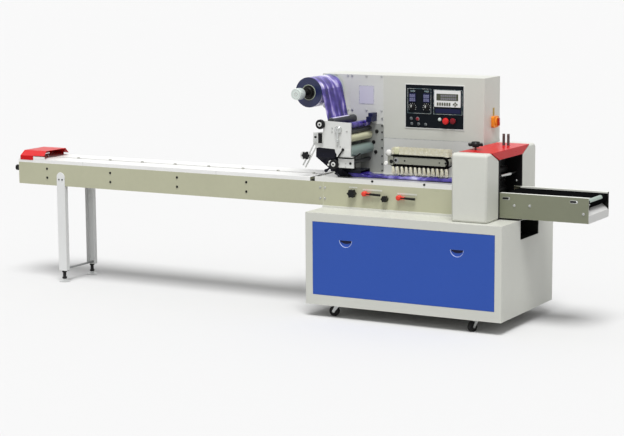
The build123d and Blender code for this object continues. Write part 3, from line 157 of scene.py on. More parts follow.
def make_tone_drift():
    """Slow and fine changes of tone over a surface, as in sprayed or rolled finishes."""
    tree, given, result = shader_group(
        "tone drift", (("Colour", COLOUR, (1, 1, 1, 1)), ("Drift", FLOAT, 0.05), ("Scale", FLOAT, 3.0)),
        (("Colour", COLOUR),))
    place = object_place(tree)
    slow = noise(tree, place, given["Scale"], 3.0)
    fine = noise(tree, place, calculate(tree, "MULTIPLY", given["Scale"], 14.0), 2.0)
    both = calculate(tree, "ADD", slow, calculate(tree, "MULTIPLY", fine, 0.4))
    swing = calculate(tree, "MULTIPLY", calculate(tree, "SUBTRACT", both, 0.7), given["Drift"])
    value = calculate(tree, "ADD", swing, 1.0)
    shade = add_node(tree, "ShaderNodeHueSaturation", {"Color": given["Colour"], "Value": value})
    feed(tree, result["Colour"], shade.outputs["Color"])
    return tree


def make_edge_rub():
    """A mask of rubbed outer edges, broken up by noise."""
    tree, given, result = shader_group(
        "edge rub", (("Width", FLOAT, 0.003), ("Breaks", FLOAT, 40.0)), (("Mask", FLOAT),))
    surface = add_node(tree, "ShaderNodeNewGeometry").outputs["Normal"]
    soft = add_node(tree, "ShaderNodeBevel", {"Radius": given["Width"]}, samples=4)
    agree = add_node(tree, "ShaderNodeVectorMath", {0: surface, 1: soft.outputs[0]}, operation="DOT_PRODUCT")
    bend = calculate(tree, "MULTIPLY", calculate(tree, "SUBTRACT", 1.0, agree.outputs["Value"]), 6.0)
    patch = calculate(tree, "SUBTRACT", noise(tree, object_place(tree), given["Breaks"], 4.0), 0.42)
    mask = calculate(tree, "MULTIPLY", bend, calculate(tree, "MULTIPLY", patch, 5.0, clamp=True), clamp=True)
    feed(tree, result["Mask"], mask)
    return tree


def make_settled_dust():
    """A mask of dust on faces that look up, heavier in patches."""
    tree, given, result = shader_group(
        "settled dust", (("Amount", FLOAT, 0.3), ("Scale", FLOAT, 6.0)), (("Mask", FLOAT),))
    normal = add_node(tree, "ShaderNodeNewGeometry").outputs["Normal"]
    up = add_node(tree, "ShaderNodeSeparateXYZ", {0: normal}).outputs["Z"]
    lying = calculate(tree, "MULTIPLY", calculate(tree, "SUBTRACT", up, 0.5), 2.0, clamp=True)
    cover = calculate(tree, "MULTIPLY", lying, noise(tree, object_place(tree), given["Scale"], 5.0))
    feed(tree, result["Mask"], calculate(tree, "MULTIPLY", cover, given["Amount"], clamp=True))
    return tree


def make_sprayed_skin():
    """The fine pimpled height of a sprayed or moulded skin."""
    tree, given, result = shader_group("sprayed skin", (("Scale", FLOAT, 260.0),), (("Height", FLOAT),))
    feed(tree, result["Height"], noise(tree, object_place(tree), given["Scale"], 2.0))
    return tree


def make_drawn_grain():
    """Long scratches along one axis, for brushed, rolled and ground metal."""
    tree, given, result = shader_group(
        "drawn grain", (("Stretch", VECTOR, (1.0, 1.0, 1.0)), ("Scale", FLOAT, 90.0)),
        (("Height", FLOAT), ("Tone", FLOAT)))
    place = object_place(tree)
    scratches = noise(tree, reckon(tree, "MULTIPLY", place, given["Stretch"]), given["Scale"], 6.0)
    smears = noise(tree, place, 9.0, 3.0)
    tone = calculate(tree, "ADD", calculate(tree, "MULTIPLY", scratches, 0.5),
                     calculate(tree, "MULTIPLY", smears, 0.5))
    feed(tree, result["Height"], scratches)
    feed(tree, result["Tone"], tone)
    return tree


def make_film_print_and_highlights():
    """Violet film with soft lilac streaks along its run, broken by a finer mottle; the palest, near-white
    streaks are painted highlights on the glossy film.
    """
    tree, given, result = shader_group(
        "film print and painted highlights", (("Streak Scale", FLOAT, 1.0), ("Paleness", FLOAT, 0.0)),
        (("Colour", COLOUR), ("Height", FLOAT)))
    place = object_place(tree)
    drawn = reckon(tree, "MULTIPLY", place, (1.6, 16.0, 1.6))
    streaks = noise(tree, drawn, calculate(tree, "MULTIPLY", given["Streak Scale"], 1.7), 3.0)
    both = calculate(tree, "ADD", calculate(tree, "MULTIPLY", streaks, 0.62),
                     calculate(tree, "MULTIPLY", noise(tree, place, 16.0, 1.5), 0.38))
    # The palest stops, pale lilac to near white, are painted highlights on the glossy film.
    colour = ramp(tree, calculate(tree, "ADD", both, given["Paleness"]), (
        (0.38, linear(34, 22, 92)), (0.47, linear(62, 46, 134)), (0.55, linear(96, 82, 168)),
        (0.60, linear(166, 156, 212)), (0.67, linear(238, 234, 246))))
    feed(tree, result["Colour"], colour)
    feed(tree, result["Height"], noise(tree, place, 22.0, 2.0))
    return tree


tone_drift = make_tone_drift()
edge_rub = make_edge_rub()
settled_dust = make_settled_dust()
sprayed_skin = make_sprayed_skin()
drawn_grain = make_drawn_grain()
film_print_and_highlights = make_film_print_and_highlights()


def use_group(tree, group, **sockets):
    """Places a shader node group in a material's tree, with its own values."""
    return add_node(tree, "ShaderNodeGroup", sockets, node_tree=group).outputs


def start_material(name):
    """Gives a new material's tree and its Principled shader."""
    material = bpy.data.materials.new(name)
    material.use_nodes = True
    return material, material.node_tree, material.node_tree.nodes["Principled BSDF"]


def wire(tree, shader, **sockets):
    """Feeds the shader's sockets, whose names are written with underscores."""
    for name, value in sockets.items():
        feed(tree, shader.inputs[name.replace("_", " ")], value)


def bump(tree, height, strength, distance=mm):
    """Turns a height into a normal."""
    sockets = {"Height": height, "Strength": strength, "Distance": distance}
    return add_node(tree, "ShaderNodeBump", sockets).outputs[0]


DUST = linear(176, 172, 160)


def worn_colour(tree, colour, drift, rub, dust):
    """A drifting tone with rubbed edges and a little dust, each with its amount and scale."""
    tone = use_group(tree, tone_drift, Colour=colour, Drift=drift[0], Scale=drift[1])["Colour"]
    worn = use_group(tree, edge_rub, Width=rub[1] * mm, Breaks=rub[2])["Mask"]
    lying = use_group(tree, settled_dust, Amount=dust[0], Scale=dust[1])["Mask"]
    return blend_colours(tree, lying, blend_colours(tree, worn, tone, rub[0]), DUST)


def smeared_gloss(tree, level, lowest, highest):
    """Maps a level to a roughness."""
    sockets = {"Value": level, "To Min": lowest, "To Max": highest}
    return add_node(tree, "ShaderNodeMapRange", sockets).outputs[0]


def painted(name, colour, rough=0.42, drift=0.08, rub=None, dust=0.12, skin=0.12, shine=0.4):
    """Sprayed paint: drifting tone, pimpled skin, edges rubbed to the undercoat, a little dust."""
    material, tree, shader = start_material(name)
    base = worn_colour(tree, colour, (drift, 2.5), (rub or linear(225, 225, 218), 2.5, 45.0), (dust, 5.0))
    skin_height = use_group(tree, sprayed_skin, Scale=420.0)["Height"]
    smears = add_node(tree, "ShaderNodeTexNoise", {"Scale": 7.0, "Detail": 4.0}).outputs["Fac"]
    wire(tree, shader, Base_Color=base, Roughness=smeared_gloss(tree, smears, rough - 0.08, rough + 0.10),
         Normal=bump(tree, skin_height, skin, 0.3 * mm), Specular_IOR_Level=shine)
    return material


def bare_metal(name, colour, rough=0.30, stretch=(1, 12, 12), scratch=0.10, metallic=1.0, dust=0.1):
    """Ground or rolled metal: grain along its draw, smeared gloss, bright edges."""
    material, tree, shader = start_material(name)
    grain = use_group(tree, drawn_grain, Stretch=stretch, Scale=70.0)
    base = worn_colour(tree, colour, (0.14, 4.0), (linear(232, 232, 228), 1.5, 60.0), (dust, 7.0))
    wire(tree, shader, Base_Color=base, Metallic=metallic,
         Roughness=smeared_gloss(tree, grain["Tone"], rough - 0.10, rough + 0.16),
         Normal=bump(tree, grain["Height"], scratch, 0.2 * mm))
    return material


def moulded(name, colour, rough=0.45, skin=0.2, dust=0.04, scale=600.0, shine=0.2):
    """Moulded plastic or rubber: fine skin, scuffed edges, dust on top."""
    material, tree, shader = start_material(name)
    lighter = tuple(min(1.0, channel * 1.8 + 0.03) for channel in colour[:3]) + (1.0,)
    base = worn_colour(tree, colour, (0.12, 9.0), (lighter, 1.2, 120.0), (dust, 14.0))
    skin_height = use_group(tree, sprayed_skin, Scale=scale)["Height"]
    smears = add_node(tree, "ShaderNodeTexNoise", {"Scale": 30.0, "Detail": 3.0}).outputs["Fac"]
    wire(tree, shader, Base_Color=base, Roughness=smeared_gloss(tree, smears, rough - 0.08, rough + 0.10),
         Normal=bump(tree, skin_height, skin, 0.2 * mm), Specular_IOR_Level=shine)
    return material


def printed_film(name, tint, streak=1.0, paleness=0.0, creases=0.35):
    """Glossy printed film with painted highlights in its palest streaks, and soft creases."""
    material, tree, shader = start_material(name)
    given = use_group(tree, film_print_and_highlights, **{"Streak Scale": streak, "Paleness": paleness})
    wire(tree, shader, Base_Color=reckon(tree, "MULTIPLY", given["Colour"], tint), Roughness=0.20,
         Coat_Weight=0.12, Normal=bump(tree, given["Height"], creases, 4 * mm))
    return material


def wound_film(name, axis_place):
    """A film roll: printed outside, with painted highlights in the palest streaks, and fine dark rings of
    wound edges on its ends.
    """
    material, tree, shader = start_material(name)
    given = use_group(tree, film_print_and_highlights, **{"Streak Scale": 1.0, "Paleness": 0.03})
    coordinates = add_node(tree, "ShaderNodeTexCoord").outputs
    facing = add_node(tree, "ShaderNodeSeparateXYZ", {0: coordinates["Normal"]}).outputs["Y"]
    ends = calculate(tree, "GREATER_THAN", calculate(tree, "ABSOLUTE", facing), 0.7)
    from_axis = reckon(tree, "SUBTRACT", coordinates["Object"], axis_place)
    flat = reckon(tree, "MULTIPLY", from_axis, (1, 0, 1))
    radius = add_node(tree, "ShaderNodeVectorMath", {0: flat}, operation="LENGTH").outputs["Value"]
    turns = add_node(tree, "ShaderNodeCombineXYZ", {"X": calculate(tree, "MULTIPLY", radius, 900.0)})
    rings = noise(tree, turns.outputs[0], 1.0, 3.0)
    edges = ramp(tree, rings, (
        (0.3, linear(14, 20, 42)), (0.5, linear(27, 35, 72)), (0.7, linear(52, 60, 106))))
    wire(tree, shader, Base_Color=blend_colours(tree, ends, given["Colour"], edges), Roughness=0.24,
         Normal=bump(tree, rings, 0.2, 0.3 * mm))
    return material


roll_low, roll_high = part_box("film_roll")
reel_place = (Vector(roll_low) + Vector(roll_high)) / 2
ACROSS = (12, 1, 12)
BLACK_RUB = linear(60, 60, 58)

# Finishes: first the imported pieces' slots, then the fittings that only the scene has
finishes = {
    "housing_paint": painted("warm grey housing paint", linear(202, 203, 195), rough=0.36),
    "tower_cover_paint": painted("satin grey cover paint", linear(206, 207, 203), rough=0.34, drift=0.12),
    "door_paint": painted("cobalt blue door paint", linear(41, 79, 167), rough=0.36,
                          rub=linear(100, 130, 200), dust=0.04, shine=0.3),
    # Black liner paint, also used for sheets of painted shade in gaps and behind the exit belt.
    "dark_liner": painted("matt black liner paint and painted shade", linear(24, 25, 22), rough=0.7, rub=BLACK_RUB, dust=0,
                          shine=0.1),
    "line_plate_paint": painted("olive beige beam paint", linear(180, 180, 154), rough=0.30, drift=0.14),
    "shaft_steel": bare_metal("turned shaft steel", linear(178, 180, 178), stretch=(10, 1, 10)),
    "deck_steel": bare_metal("pale rolled deck steel", linear(232, 232, 230), rough=0.42, metallic=0.2),
    "chain_steel": bare_metal("pale oiled chain steel", linear(190, 190, 184), rough=0.38),
    "red_cover_paint": painted("signal red cover paint", linear(198, 18, 22), rough=0.3, drift=0.04,
                               rub=linear(200, 26, 28), dust=0, skin=0.03, shine=0.14),
    "leg_paint": painted("light grey leg paint", linear(222, 223, 222), rough=0.36),
    "foot_rubber": moulded("black foot rubber", linear(34, 34, 34), rough=0.6),
    "table_steel": bare_metal("polished table steel", linear(222, 222, 218), rough=0.32, metallic=0.6),
    "film": printed_film("violet printed film", (0.72, 0.66, 0.86)),
    "film_roll_wound": wound_film("wound printed film", tuple(reel_place)),
    "panel_face": moulded("dark teal panel face", linear(15, 20, 26), rough=0.4, scale=900, dust=0,
                          shine=0.08),
    "switch_yellow": moulded("orange yellow switch plate", linear(232, 140, 38), rough=0.32),
    "switch_red": moulded("red switch handle", linear(172, 40, 22), rough=0.32),
    "unit_plate_steel": painted("white film unit plate", linear(216, 217, 214), rough=0.30),
    # The same navy also paints the shade under the door pulls' top edges.
    "sensor_case": moulded("navy sensor case, also painted pull shade", linear(20, 24, 62), rough=0.3),
    "former_paint": painted("black former enamel", linear(16, 17, 30), rough=0.24, rub=linear(70, 72, 80),
                            dust=0, shine=0.16),
    "belt_rubber": moulded("black toothed belt rubber", linear(14, 14, 14), rough=0.88, dust=0, shine=0),
    "brush_frame_steel": bare_metal("milled brush frame steel", linear(138, 139, 128), rough=0.4,
                                    metallic=0.4),
    "frame_plate_paint": painted("black frame plate paint", linear(20, 20, 21), rough=0.5, rub=BLACK_RUB,
                                 dust=0, shine=0.1),
    "exit_plate_paint": painted("dark olive exit paint", linear(122, 125, 105), rough=0.30, drift=0.14),
    "roller_steel": bare_metal("ground roller steel", linear(136, 154, 150), stretch=ACROSS, metallic=0.35),
    "exit_belt_rubber": moulded("black exit belt rubber", linear(14, 14, 15), rough=0.88, dust=0, shine=0),
    "tray_paint": painted("white tray paint", linear(198, 198, 196), rough=0.35),
    "reel_metal": bare_metal("anodised reel metal", linear(206, 216, 211), rough=0.28, stretch=ACROSS,
                             metallic=0.45),
    "cream_rubber": moulded("cream roller rubber", linear(196, 196, 166), rough=0.5),
    "jaw_steel": bare_metal("dark crimp jaw steel", linear(70, 70, 70), rough=0.4),
    "knob_plastic": moulded("black knob plastic", linear(17, 18, 19), rough=0.34),
    "lever_plastic": moulded("black lever plastic", linear(18, 18, 18), rough=0.36),
    "fork_steel": bare_metal("zinc plated fork steel", linear(176, 178, 176), rough=0.34),
    "caster_tyre": moulded("black tyre rubber", linear(24, 24, 24), rough=0.62),
    "slack film": printed_film("slack printed film", (0.52, 0.54, 0.74), streak=0.8, paleness=0.04,
                               creases=0.6),
    "core card": moulded("pale core card", linear(150, 158, 142), rough=0.5),
    "back plate": painted("mid grey plate behind the rollers", linear(150, 152, 148), rough=0.36),
    "foot silver": bare_metal("pale foot pad metal", linear(196, 198, 197), rough=0.36, metallic=0.4, dust=0),
    "screw": bare_metal("bright screw steel", linear(186, 188, 186), dust=0),
    "dark bar": bare_metal("blackened bar steel", linear(58, 60, 62), rough=0.34, stretch=ACROSS,
                           metallic=0.4, dust=0),
    "post brown": bare_metal("brown grey post steel", linear(96, 84, 82), rough=0.36, metallic=0.4, dust=0),
    "tie rod": bare_metal("grey tie rod steel", linear(146, 148, 148), rough=0.34, metallic=0.5, dust=0),
    # The bristle darkened for the rear rows, as painted shade between the front tufts.
    "shaded bristle": moulded("rear bristle darkened as painted shade", linear(112, 106, 90), rough=0.6, scale=1400),
    # Pale blue that stands in for light on the door pulls' curved lips: a painted highlight.
    "pull rim": painted("pale blue rim of painted highlight", linear(180, 194, 238), rough=0.4, skin=0.03, dust=0),
    # Pale lilac for the film over the guide roller: a painted highlight.
    "roller wrap highlight": painted("film over the roller, painted pale as its highlight", linear(204, 199, 226), rough=0.3, skin=0.03, dust=0),
    "dark screw": moulded("black oxide screw", linear(18, 18, 18), rough=0.36),
    "flange": bare_metal("bright folded flange", linear(226, 228, 220), rough=0.4, metallic=0.1, dust=0),
    "green steel": bare_metal("green grey roller steel", linear(150, 166, 156), metallic=0.35, dust=0),
    "paper": painted("white label paper", linear(214, 215, 212), rough=0.5, skin=0.03, dust=0.1),
    "lilac paper": painted("lilac label paper", linear(197, 195, 210), rough=0.45, skin=0.03, drift=0.12,
                           dust=0),
    "pale label": painted("pale worn label", linear(204, 205, 194), rough=0.5, drift=0.3, skin=0.03, dust=0),
    "grey line": painted("grey printed line", linear(140, 146, 150), rough=0.5, skin=0.03),
    "teal line": painted("pale teal printed line", linear(84, 106, 112), rough=0.5, skin=0.03, dust=0),
    "keypad": painted("white keypad foil", linear(226, 227, 226), rough=0.36, skin=0.05, dust=0.1),
    "screen": moulded("grey green display glass", linear(74, 78, 62), rough=0.12, skin=0.02),
    "screen cell": moulded("dim display cell", linear(116, 116, 122), rough=0.2, skin=0.02),
    "key": moulded("grey key", linear(96, 98, 84), rough=0.5),
    "digit": moulded("pale counter digit", linear(134, 136, 172), rough=0.4, skin=0.02, dust=0),
    "white cap": moulded("white push button", linear(206, 216, 210), rough=0.3),
    "grey cap": moulded("grey push button", linear(92, 98, 102), rough=0.35),
    "red cap": moulded("red push button", linear(214, 40, 40), rough=0.25),
    "dull red cap": moulded("dull red push button", linear(138, 38, 48), rough=0.3),
    "ring grey": bare_metal("dark grey button ring", linear(104, 108, 110), dust=0),
    "dark red cap": moulded("dark red push button", linear(120, 18, 30), rough=0.28),
    "chrome": bare_metal("polished ring chrome", linear(196, 198, 196), rough=0.2, dust=0),
    "lever red": moulded("red lever hub", linear(214, 66, 52), rough=0.3),
    "bristle": moulded("cream nylon bristle", linear(224, 220, 196), rough=0.55, scale=1400),
    "white knob": moulded("white thumb screw", linear(226, 226, 222), rough=0.35),
    "brass": bare_metal("olive yellow tag plate", linear(168, 142, 50), rough=0.4, metallic=0.3),
}

for node in nodes.values():
    node.material_slots[0].material = finishes[node.material_slots[0].material.name.split(".")[0]]
for name, finish in (("film_unit_bars", "dark bar"), ("spring_posts", "post brown")):
    nodes[name].material_slots[0].material = finishes[finish]

# Places are measured in millimetres from the cabinet's lower front left corner
CABINET_SHEET = 3.0
corner = Vector(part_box("cabinet_front_frame")[0]) - Vector((0.0, 0.0, CABINET_SHEET * mm))
from_corner = Matrix.Translation(corner) @ Matrix.Scale(mm, 4)
FRONT = (0, -1, 0)
BACK = (0, 1, 0)
RIGHT = (1, 0, 0)
UP = (0, 0, 1)


def measured(node):
    """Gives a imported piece's lowest and highest corners, in millimetres from the cabinet's corner."""
    return tuple((Vector(point) - corner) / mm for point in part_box(node))


# Shapes: each is a row of rings of points, which a piece skins and closes


def block(low, high):
    """A box between two corners."""
    outline = rectangle(low[0], high[0], low[1], high[1])
    return [[(x, y, z) for x, y in outline] for z in (low[2], high[2])]


def plate(outline, back, front):
    """A plate that faces the front, from an outline of (across, up) points."""
    return [[(across, depth, up) for across, up in outline] for depth in (back, front)]


def frame_about(axis):
    """Gives a direction, and two directions square to it."""
    axis = Vector(axis).normalized()
    side = axis.cross(Vector(UP))
    if side.length < 0.1:
        side = axis.cross(Vector(BACK))
    side.normalize()
    return axis, side, axis.cross(side)


def turned(place, axis, profile, steps=24, lobes=0, depth=0.0):
    """A profile of (radius, along) turned about an axis, with lobes round it if asked."""
    axis, side, up = frame_about(axis)
    rings = []
    for radius, along in profile:
        ring = []
        for index in range(steps):
            heading = tau * index / steps
            reach = radius * (1.0 - depth * (0.5 - 0.5 * cos(lobes * heading)))
            ring.append(Vector(place) + along * axis + reach * (cos(heading) * side + sin(heading) * up))
        rings.append(ring)
    return rings


def tube(points, radius, steps=12):
    """A round section swept along points."""
    points = [Vector(point) for point in points]
    rings = []
    for index, point in enumerate(points):
        before = points[max(index - 1, 0)]
        after = points[min(index + 1, len(points) - 1)]
        _, side, up = frame_about(after - before)
        rings.append([point + radius * (cos(tau * step / steps) * side + sin(tau * step / steps) * up)
                      for step in range(steps)])
    return rings


def skin(form, rings, loop):
    """Skins rings with quads, and closes the two ends or joins the last ring to the first."""
    made = [[form.verts.new(point) for point in ring] for ring in rings]
    if loop:
        made.append(made[0])
    else:
        form.faces.new(list(reversed(made[0])))
        form.faces.new(made[-1])
    count = len(made[0])
    for first, second in zip(made, made[1:]):
        for index in range(count):
            after = (index + 1) % count
            form.faces.new((first[index], first[after], second[after], second[index]))


def piece(name, finish, shapes, body=ROOT, soften=0.0, smooth=40.0, replaces=(), loop=False):
    """Makes one piece of some shapes, with its finish in its one slot, and puts it on a body."""
    form = bmesh.new()
    for rings in shapes:
        skin(form, rings, loop)
    form.transform(from_corner)
    bmesh.ops.recalc_face_normals(form, faces=form.faces)
    mesh = bpy.data.meshes.new(name)
    form.to_mesh(mesh)
    form.free()
    mesh.materials.append(finishes[finish])
    mesh.shade_smooth()
    mesh.set_sharp_from_angle(angle=radians(smooth))
    made = bpy.data.objects.new(name, mesh)
    bpy.context.scene.collection.objects.link(made)
    if soften:
        edge = made.modifiers.new("softened edges", "BEVEL")
        edge.width = soften * mm
        edge.segments = 2
        edge.limit_method = "ANGLE"
        edge.angle_limit = radians(40.0)
    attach(made, body)
    if replaces:
        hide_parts(*replaces)


def screw_row(name, places, axis, radius, finish="screw", washer=0.0):
    """Makes one piece of screw heads with round sockets, over thin washers if asked."""
    shapes = []
    height = radius * 0.7
    for place in places:
        if washer:
            shapes.append(turned(place, axis, ((washer, -0.2), (washer, 1.2), (washer * 0.5, 1.2)), 18))
        shapes.append(turned(place, axis, (
            (radius, -0.5), (radius, height * 0.7), (radius * 0.82, height), (radius * 0.5, height),
            (radius * 0.42, height * 0.35)), 14))
    piece(name, finish, shapes)


def rectangle(left, right, low, high):
    """Gives a rectangle's outline."""
    return (left, low), (right, low), (right, high), (left, high)


def arc(x, z, radius, start, stop, steps, height=None):
    """Gives points along an arc whose headings are in degrees, or along an oval of another height."""
    headings = [radians(start + (stop - start) * step / steps) for step in range(steps + 1)]
    return [(x + radius * cos(heading), z + (height or radius) * sin(heading)) for heading in headings]


def rounded(left, right, low, high, radius):
    """Gives a rectangle's outline with rounded corners."""
    points = []
    for across, up, start in ((right - radius, low + radius, -90), (right - radius, high - radius, 0),
                              (left + radius, high - radius, 90), (left + radius, low + radius, 180)):
        points += arc(across, up, radius, start, start + 90, 4)
    return points


def border(left, right, low, high, width, back, front):
    """A thin rectangular border, as four plates."""
    return [plate(outline, back, front) for outline in (
        rectangle(left, right, low, low + width), rectangle(left, right, high - width, high),
        rectangle(left, left + width, low + width, high - width),
        rectangle(right - width, right, low + width, high - width))]


# Control panel: face, borders, counters, dials, keypad and push buttons
LINE_FRAMES = ((412, 568, 1108, 1258), (584, 772, 1108, 1256))
COUNTERS = (446, 538)
DIGIT_ROWS = (1182, 1205)
DIALS = (444, 538)
DIAL_HEIGHT = 1145
DIAL_PROFILE = ((18, 0), (18, 4), (12, 6), (11, 17), (9, 18.5))
CELL_ROWS = (1196, 1214)
KEY_PITCH = 15.5
DIAMOND_KEYS = ((727, 1179), (727, 1163), (717, 1171), (737, 1171))
PUSH_BUTTONS = (
    ("jog", 437, 1077, 10, "grey cap"), ("stop", 480, 1076, 12, "dull red cap"),
    ("start", 441, 1046, 9, "grey cap"), ("run", 487, 1046, 9, "grey cap"),
    ("light", 533, 1044, 9, "grey cap"), ("ready", 626, 1078, 12, "white cap"))
STOP_BUTTONS = (("emergency_stop", 669, 1070, 20, "red cap"), ("feed_stop", 716, 1072, 18, "dark red cap"))


def dress_panel():
    (left, _, bottom), (right, back, top) = measured("control_panel")
    face = back - 3
    piece("panel_plate", "panel_face", [plate(rounded(left, right, bottom, top, 5), back, face)], soften=0.8,
          replaces=("control_panel",))
    piece("panel_edge_trim", "paper", border(left - 4, right + 4, bottom - 4, top + 4, 5, back, face - 0.6),
          soften=0.5)
    lines = [line for edges in LINE_FRAMES for line in border(*edges, 2.6, face, face - 1.6)]
    piece("panel_line_frames", "teal line", lines, soften=0.4)
    dress_counters(face)
    dress_keypad(face)
    dress_buttons(face)


def dress_counters(face):
    """Two counters with rows of the seven-bar digit 0, and two dials under them."""
    cases, digits, labels, knobs, marks = [], [], [], [], []
    for across in COUNTERS:
        cases.append(plate(rounded(across - 22, across + 22, 1176, 1230, 4), face, face - 5))
        labels.append(plate(rounded(across - 15, across + 15, 1238, 1247, 2), face, face - 0.8))
        for low in DIGIT_ROWS:
            for left in (across - 17, across - 4.6, across + 7.8):
                digits += border(left, left + 9, low, low + 17, 2.6, face - 4.8, face - 5.8)
    for across in DIALS:
        knobs.append(turned((across, face, DIAL_HEIGHT), FRONT, DIAL_PROFILE, 28, 12, 0.08))
        marks.append(block((across - 2.6, face - 19.6, DIAL_HEIGHT + 1),
                           (across + 2.6, face - 16, DIAL_HEIGHT + 15)))
        ends = (arc(across, DIAL_HEIGHT, reach, -30, 210, 8) for reach in (21.5, 26))
        marks += [tube([(x, face, z) for x, z in tick], 1.3, 6) for tick in zip(*ends)]
    piece("counter_cases", "sensor_case", cases, soften=1)
    piece("counter_digits", "digit", digits)
    piece("counter_blank_labels", "teal line", labels)
    piece("dial_knobs", "knob_plastic", knobs, soften=0.6)
    piece("dial_marks", "paper", marks)


def dress_keypad(face):
    """The operator's keypad: white foil, a display with blank rows, small keys and four arrow keys."""
    for name, finish, outline, back, front, soften in (
        ("keypad_foil", "keypad", rounded(589, 761, 1153, 1252, 4), 0, 2.4, 0.6),
        ("display_glass", "screen", rounded(604, 746, 1192, 1232, 3), 2.2, 3.6, 0.4),
        ("panel_blank_strip", "sensor_case", rounded(596, 760, 1116, 1142, 3), 0, 1.2, 0.4),
    ):
        piece(name, finish, [plate(outline, face - back, face - front)], soften=soften)
    piece("display_cells", "screen cell", [
        plate(rectangle(left, left + 11, low, low + 13), face - 3.4, face - 3.9)
        for low in CELL_ROWS for left in range(632, 724, 13)])
    outlines = [rounded(607 + KEY_PITCH * index, 618 + KEY_PITCH * index, 1161, 1180, 2)
                for index in range(6)]
    outlines += [((x - 7, z), (x, z - 6), (x + 7, z), (x, z + 6)) for x, z in DIAMOND_KEYS]
    piece("keypad_keys", "key", [plate(outline, face - 2.2, face - 4.2) for outline in outlines],
          soften=0.5)


def dress_buttons(face):
    """Push buttons with rings, and two mushroom stop buttons."""
    rings = []
    for name, x, z, radius, cap in PUSH_BUTTONS:
        rings.append(turned((x, face, z), FRONT,
                            ((radius, 0), (radius, 4), (radius - 2, 5), (radius - 2.4, 3))))
        button = turned((x, face, z), FRONT, ((radius - 2.2, 2), (radius - 2.2, 6), (radius - 4, 7.4)))
        piece(name + "_button", cap, [button])
    for name, x, z, radius, cap in STOP_BUTTONS:
        rings.append(turned((x, face, z), FRONT, ((radius - 3, 0), (radius - 3, 3), (radius - 6, 4)), 28))
        button = turned((x, face, z), FRONT, (
            (radius * 0.5, 2), (radius * 0.5, 10), (radius, 12), (radius, 16), (radius * 0.88, 20),
            (radius * 0.5, 22.4), (radius * 0.2, 23)), 32)
        piece(name, cap, [button])
    piece("button_rings", "ring grey", rings)


# Main switch: a rounded housing under the turning handle, with a bare tag above it
def dress_switch():
    low, high = measured("switch_plate")
    side, y, z = low[0], (low[1] + high[1]) / 2, (low[2] + high[2]) / 2
    outline = rounded(y - 47, y + 31, z - 34, z + 34, 12)
    piece("switch_collar", "switch_yellow", [
        [[(x, *point) for point in outline] for x in (side - 0.6, side + 17)],
        turned((side + 16, y, z), RIGHT, ((27, 0), (26, 5), (22, 6.4), (19.5, 6.4)), 32)], soften=0.6)
    piece("switch_blank_tag", "brass", [block((side, y - 22, z + 40), (side + 3, y - 4, z + 84))],
          soften=0.5)
    grip = measured("main_switch")[1][0]
    piece("switch_pointer", "paper", [
        turned((grip - 1, y, z), RIGHT, ((3, 0), (3, 1.2), (2, 1.6)), 16),
        block((grip - 1, y - 1.5, z + 8), (grip + 0.4, y + 1.5, z + 20))], "main_switch")


# Tower: screws, a bare label, the plate behind the rollers, and the control box's seam
TOWER_SCREWS = (
    (-156, 1322), (-76, 1322), (5, 1322), (34, 1322), (132, 1322), (235, 1322),
    (5, 1113), (34, 1113), (132, 1113), (235, 1113), (-160, 1140), (240, 1066))
BACK_PLATE = (92, 251, 738, 1036)
BACK_PLATE_SCREW_HEIGHTS = (1024, 985, 940, 889, 839, 790, 750)
BACK_PLATE_NUTS = ((204, 988), (182, 922), (196, 862))
TOWER_LABEL = (80, 185, 1151, 1266)
TOWER_LABEL_LINE = (82, 183, 1153, 1264)


def dress_tower():
    face = measured("tower_covers")[0][1] + 10
    screw_row("tower_screws", [(x, face, z) for x, z in TOWER_SCREWS], FRONT, 5.5, washer=7.5)
    back_plate = plate(rounded(*BACK_PLATE, 14), face, face - 3)
    piece("roller_back_plate", "back plate", [back_plate], soften=0.8)
    screw_row("back_plate_screws", [(240, face - 3, z) for z in BACK_PLATE_SCREW_HEIGHTS], FRONT, 5,
              "dark screw")
    nuts = [(x, face - 3, z) for x, z in BACK_PLATE_NUTS]
    screw_row("back_plate_nuts", nuts, FRONT, 9, "dark screw", 12)
    label = plate(rounded(*TOWER_LABEL, 3), face, face - 0.8)
    piece("tower_blank_label", "lilac paper", [label])
    line = border(*TOWER_LABEL_LINE, 2, face - 0.7, face - 1.2)
    piece("tower_label_line", "grey line", line)
    low, high = measured("control_box")
    seam = block((low[0], low[1] - 0.5, low[2] - 1.1), (high[0], low[1] + 0.4, low[2] + 1.1))
    piece("control_box_seam", "grey line", [seam])


# Film reel: wound roll's core, expanding jaws, sleeve, and the shaft's knurled knob
KNOB_RIBS = 52
KNOB_PROFILE = ((31, 0), (34.5, 3), (35, 6), (35, 50), (34.5, 55), (31, 58))
KNOB_RIB_DEPTH = 0.05
CORE_PROFILE = ((47, 0), (47, 2), (43, 2.6), (43, -3), (36, -3), (36, 1), (33, 1.6), (33, -4))
JAW_PROFILE = ((42, -2.6), (42, 0.4), (30, 2), (12, 2.4))
SLEEVE_PROFILE = ((31, 0), (31, 19), (29, 21), (17, 21.4), (17, 97))
KNOB_FACE = ((29, 0), (29, 1.6), (26, 2.4), (24, 1.2), (13, 1.2), (12, 2.4), (7, 2.4), (6, 0.4))


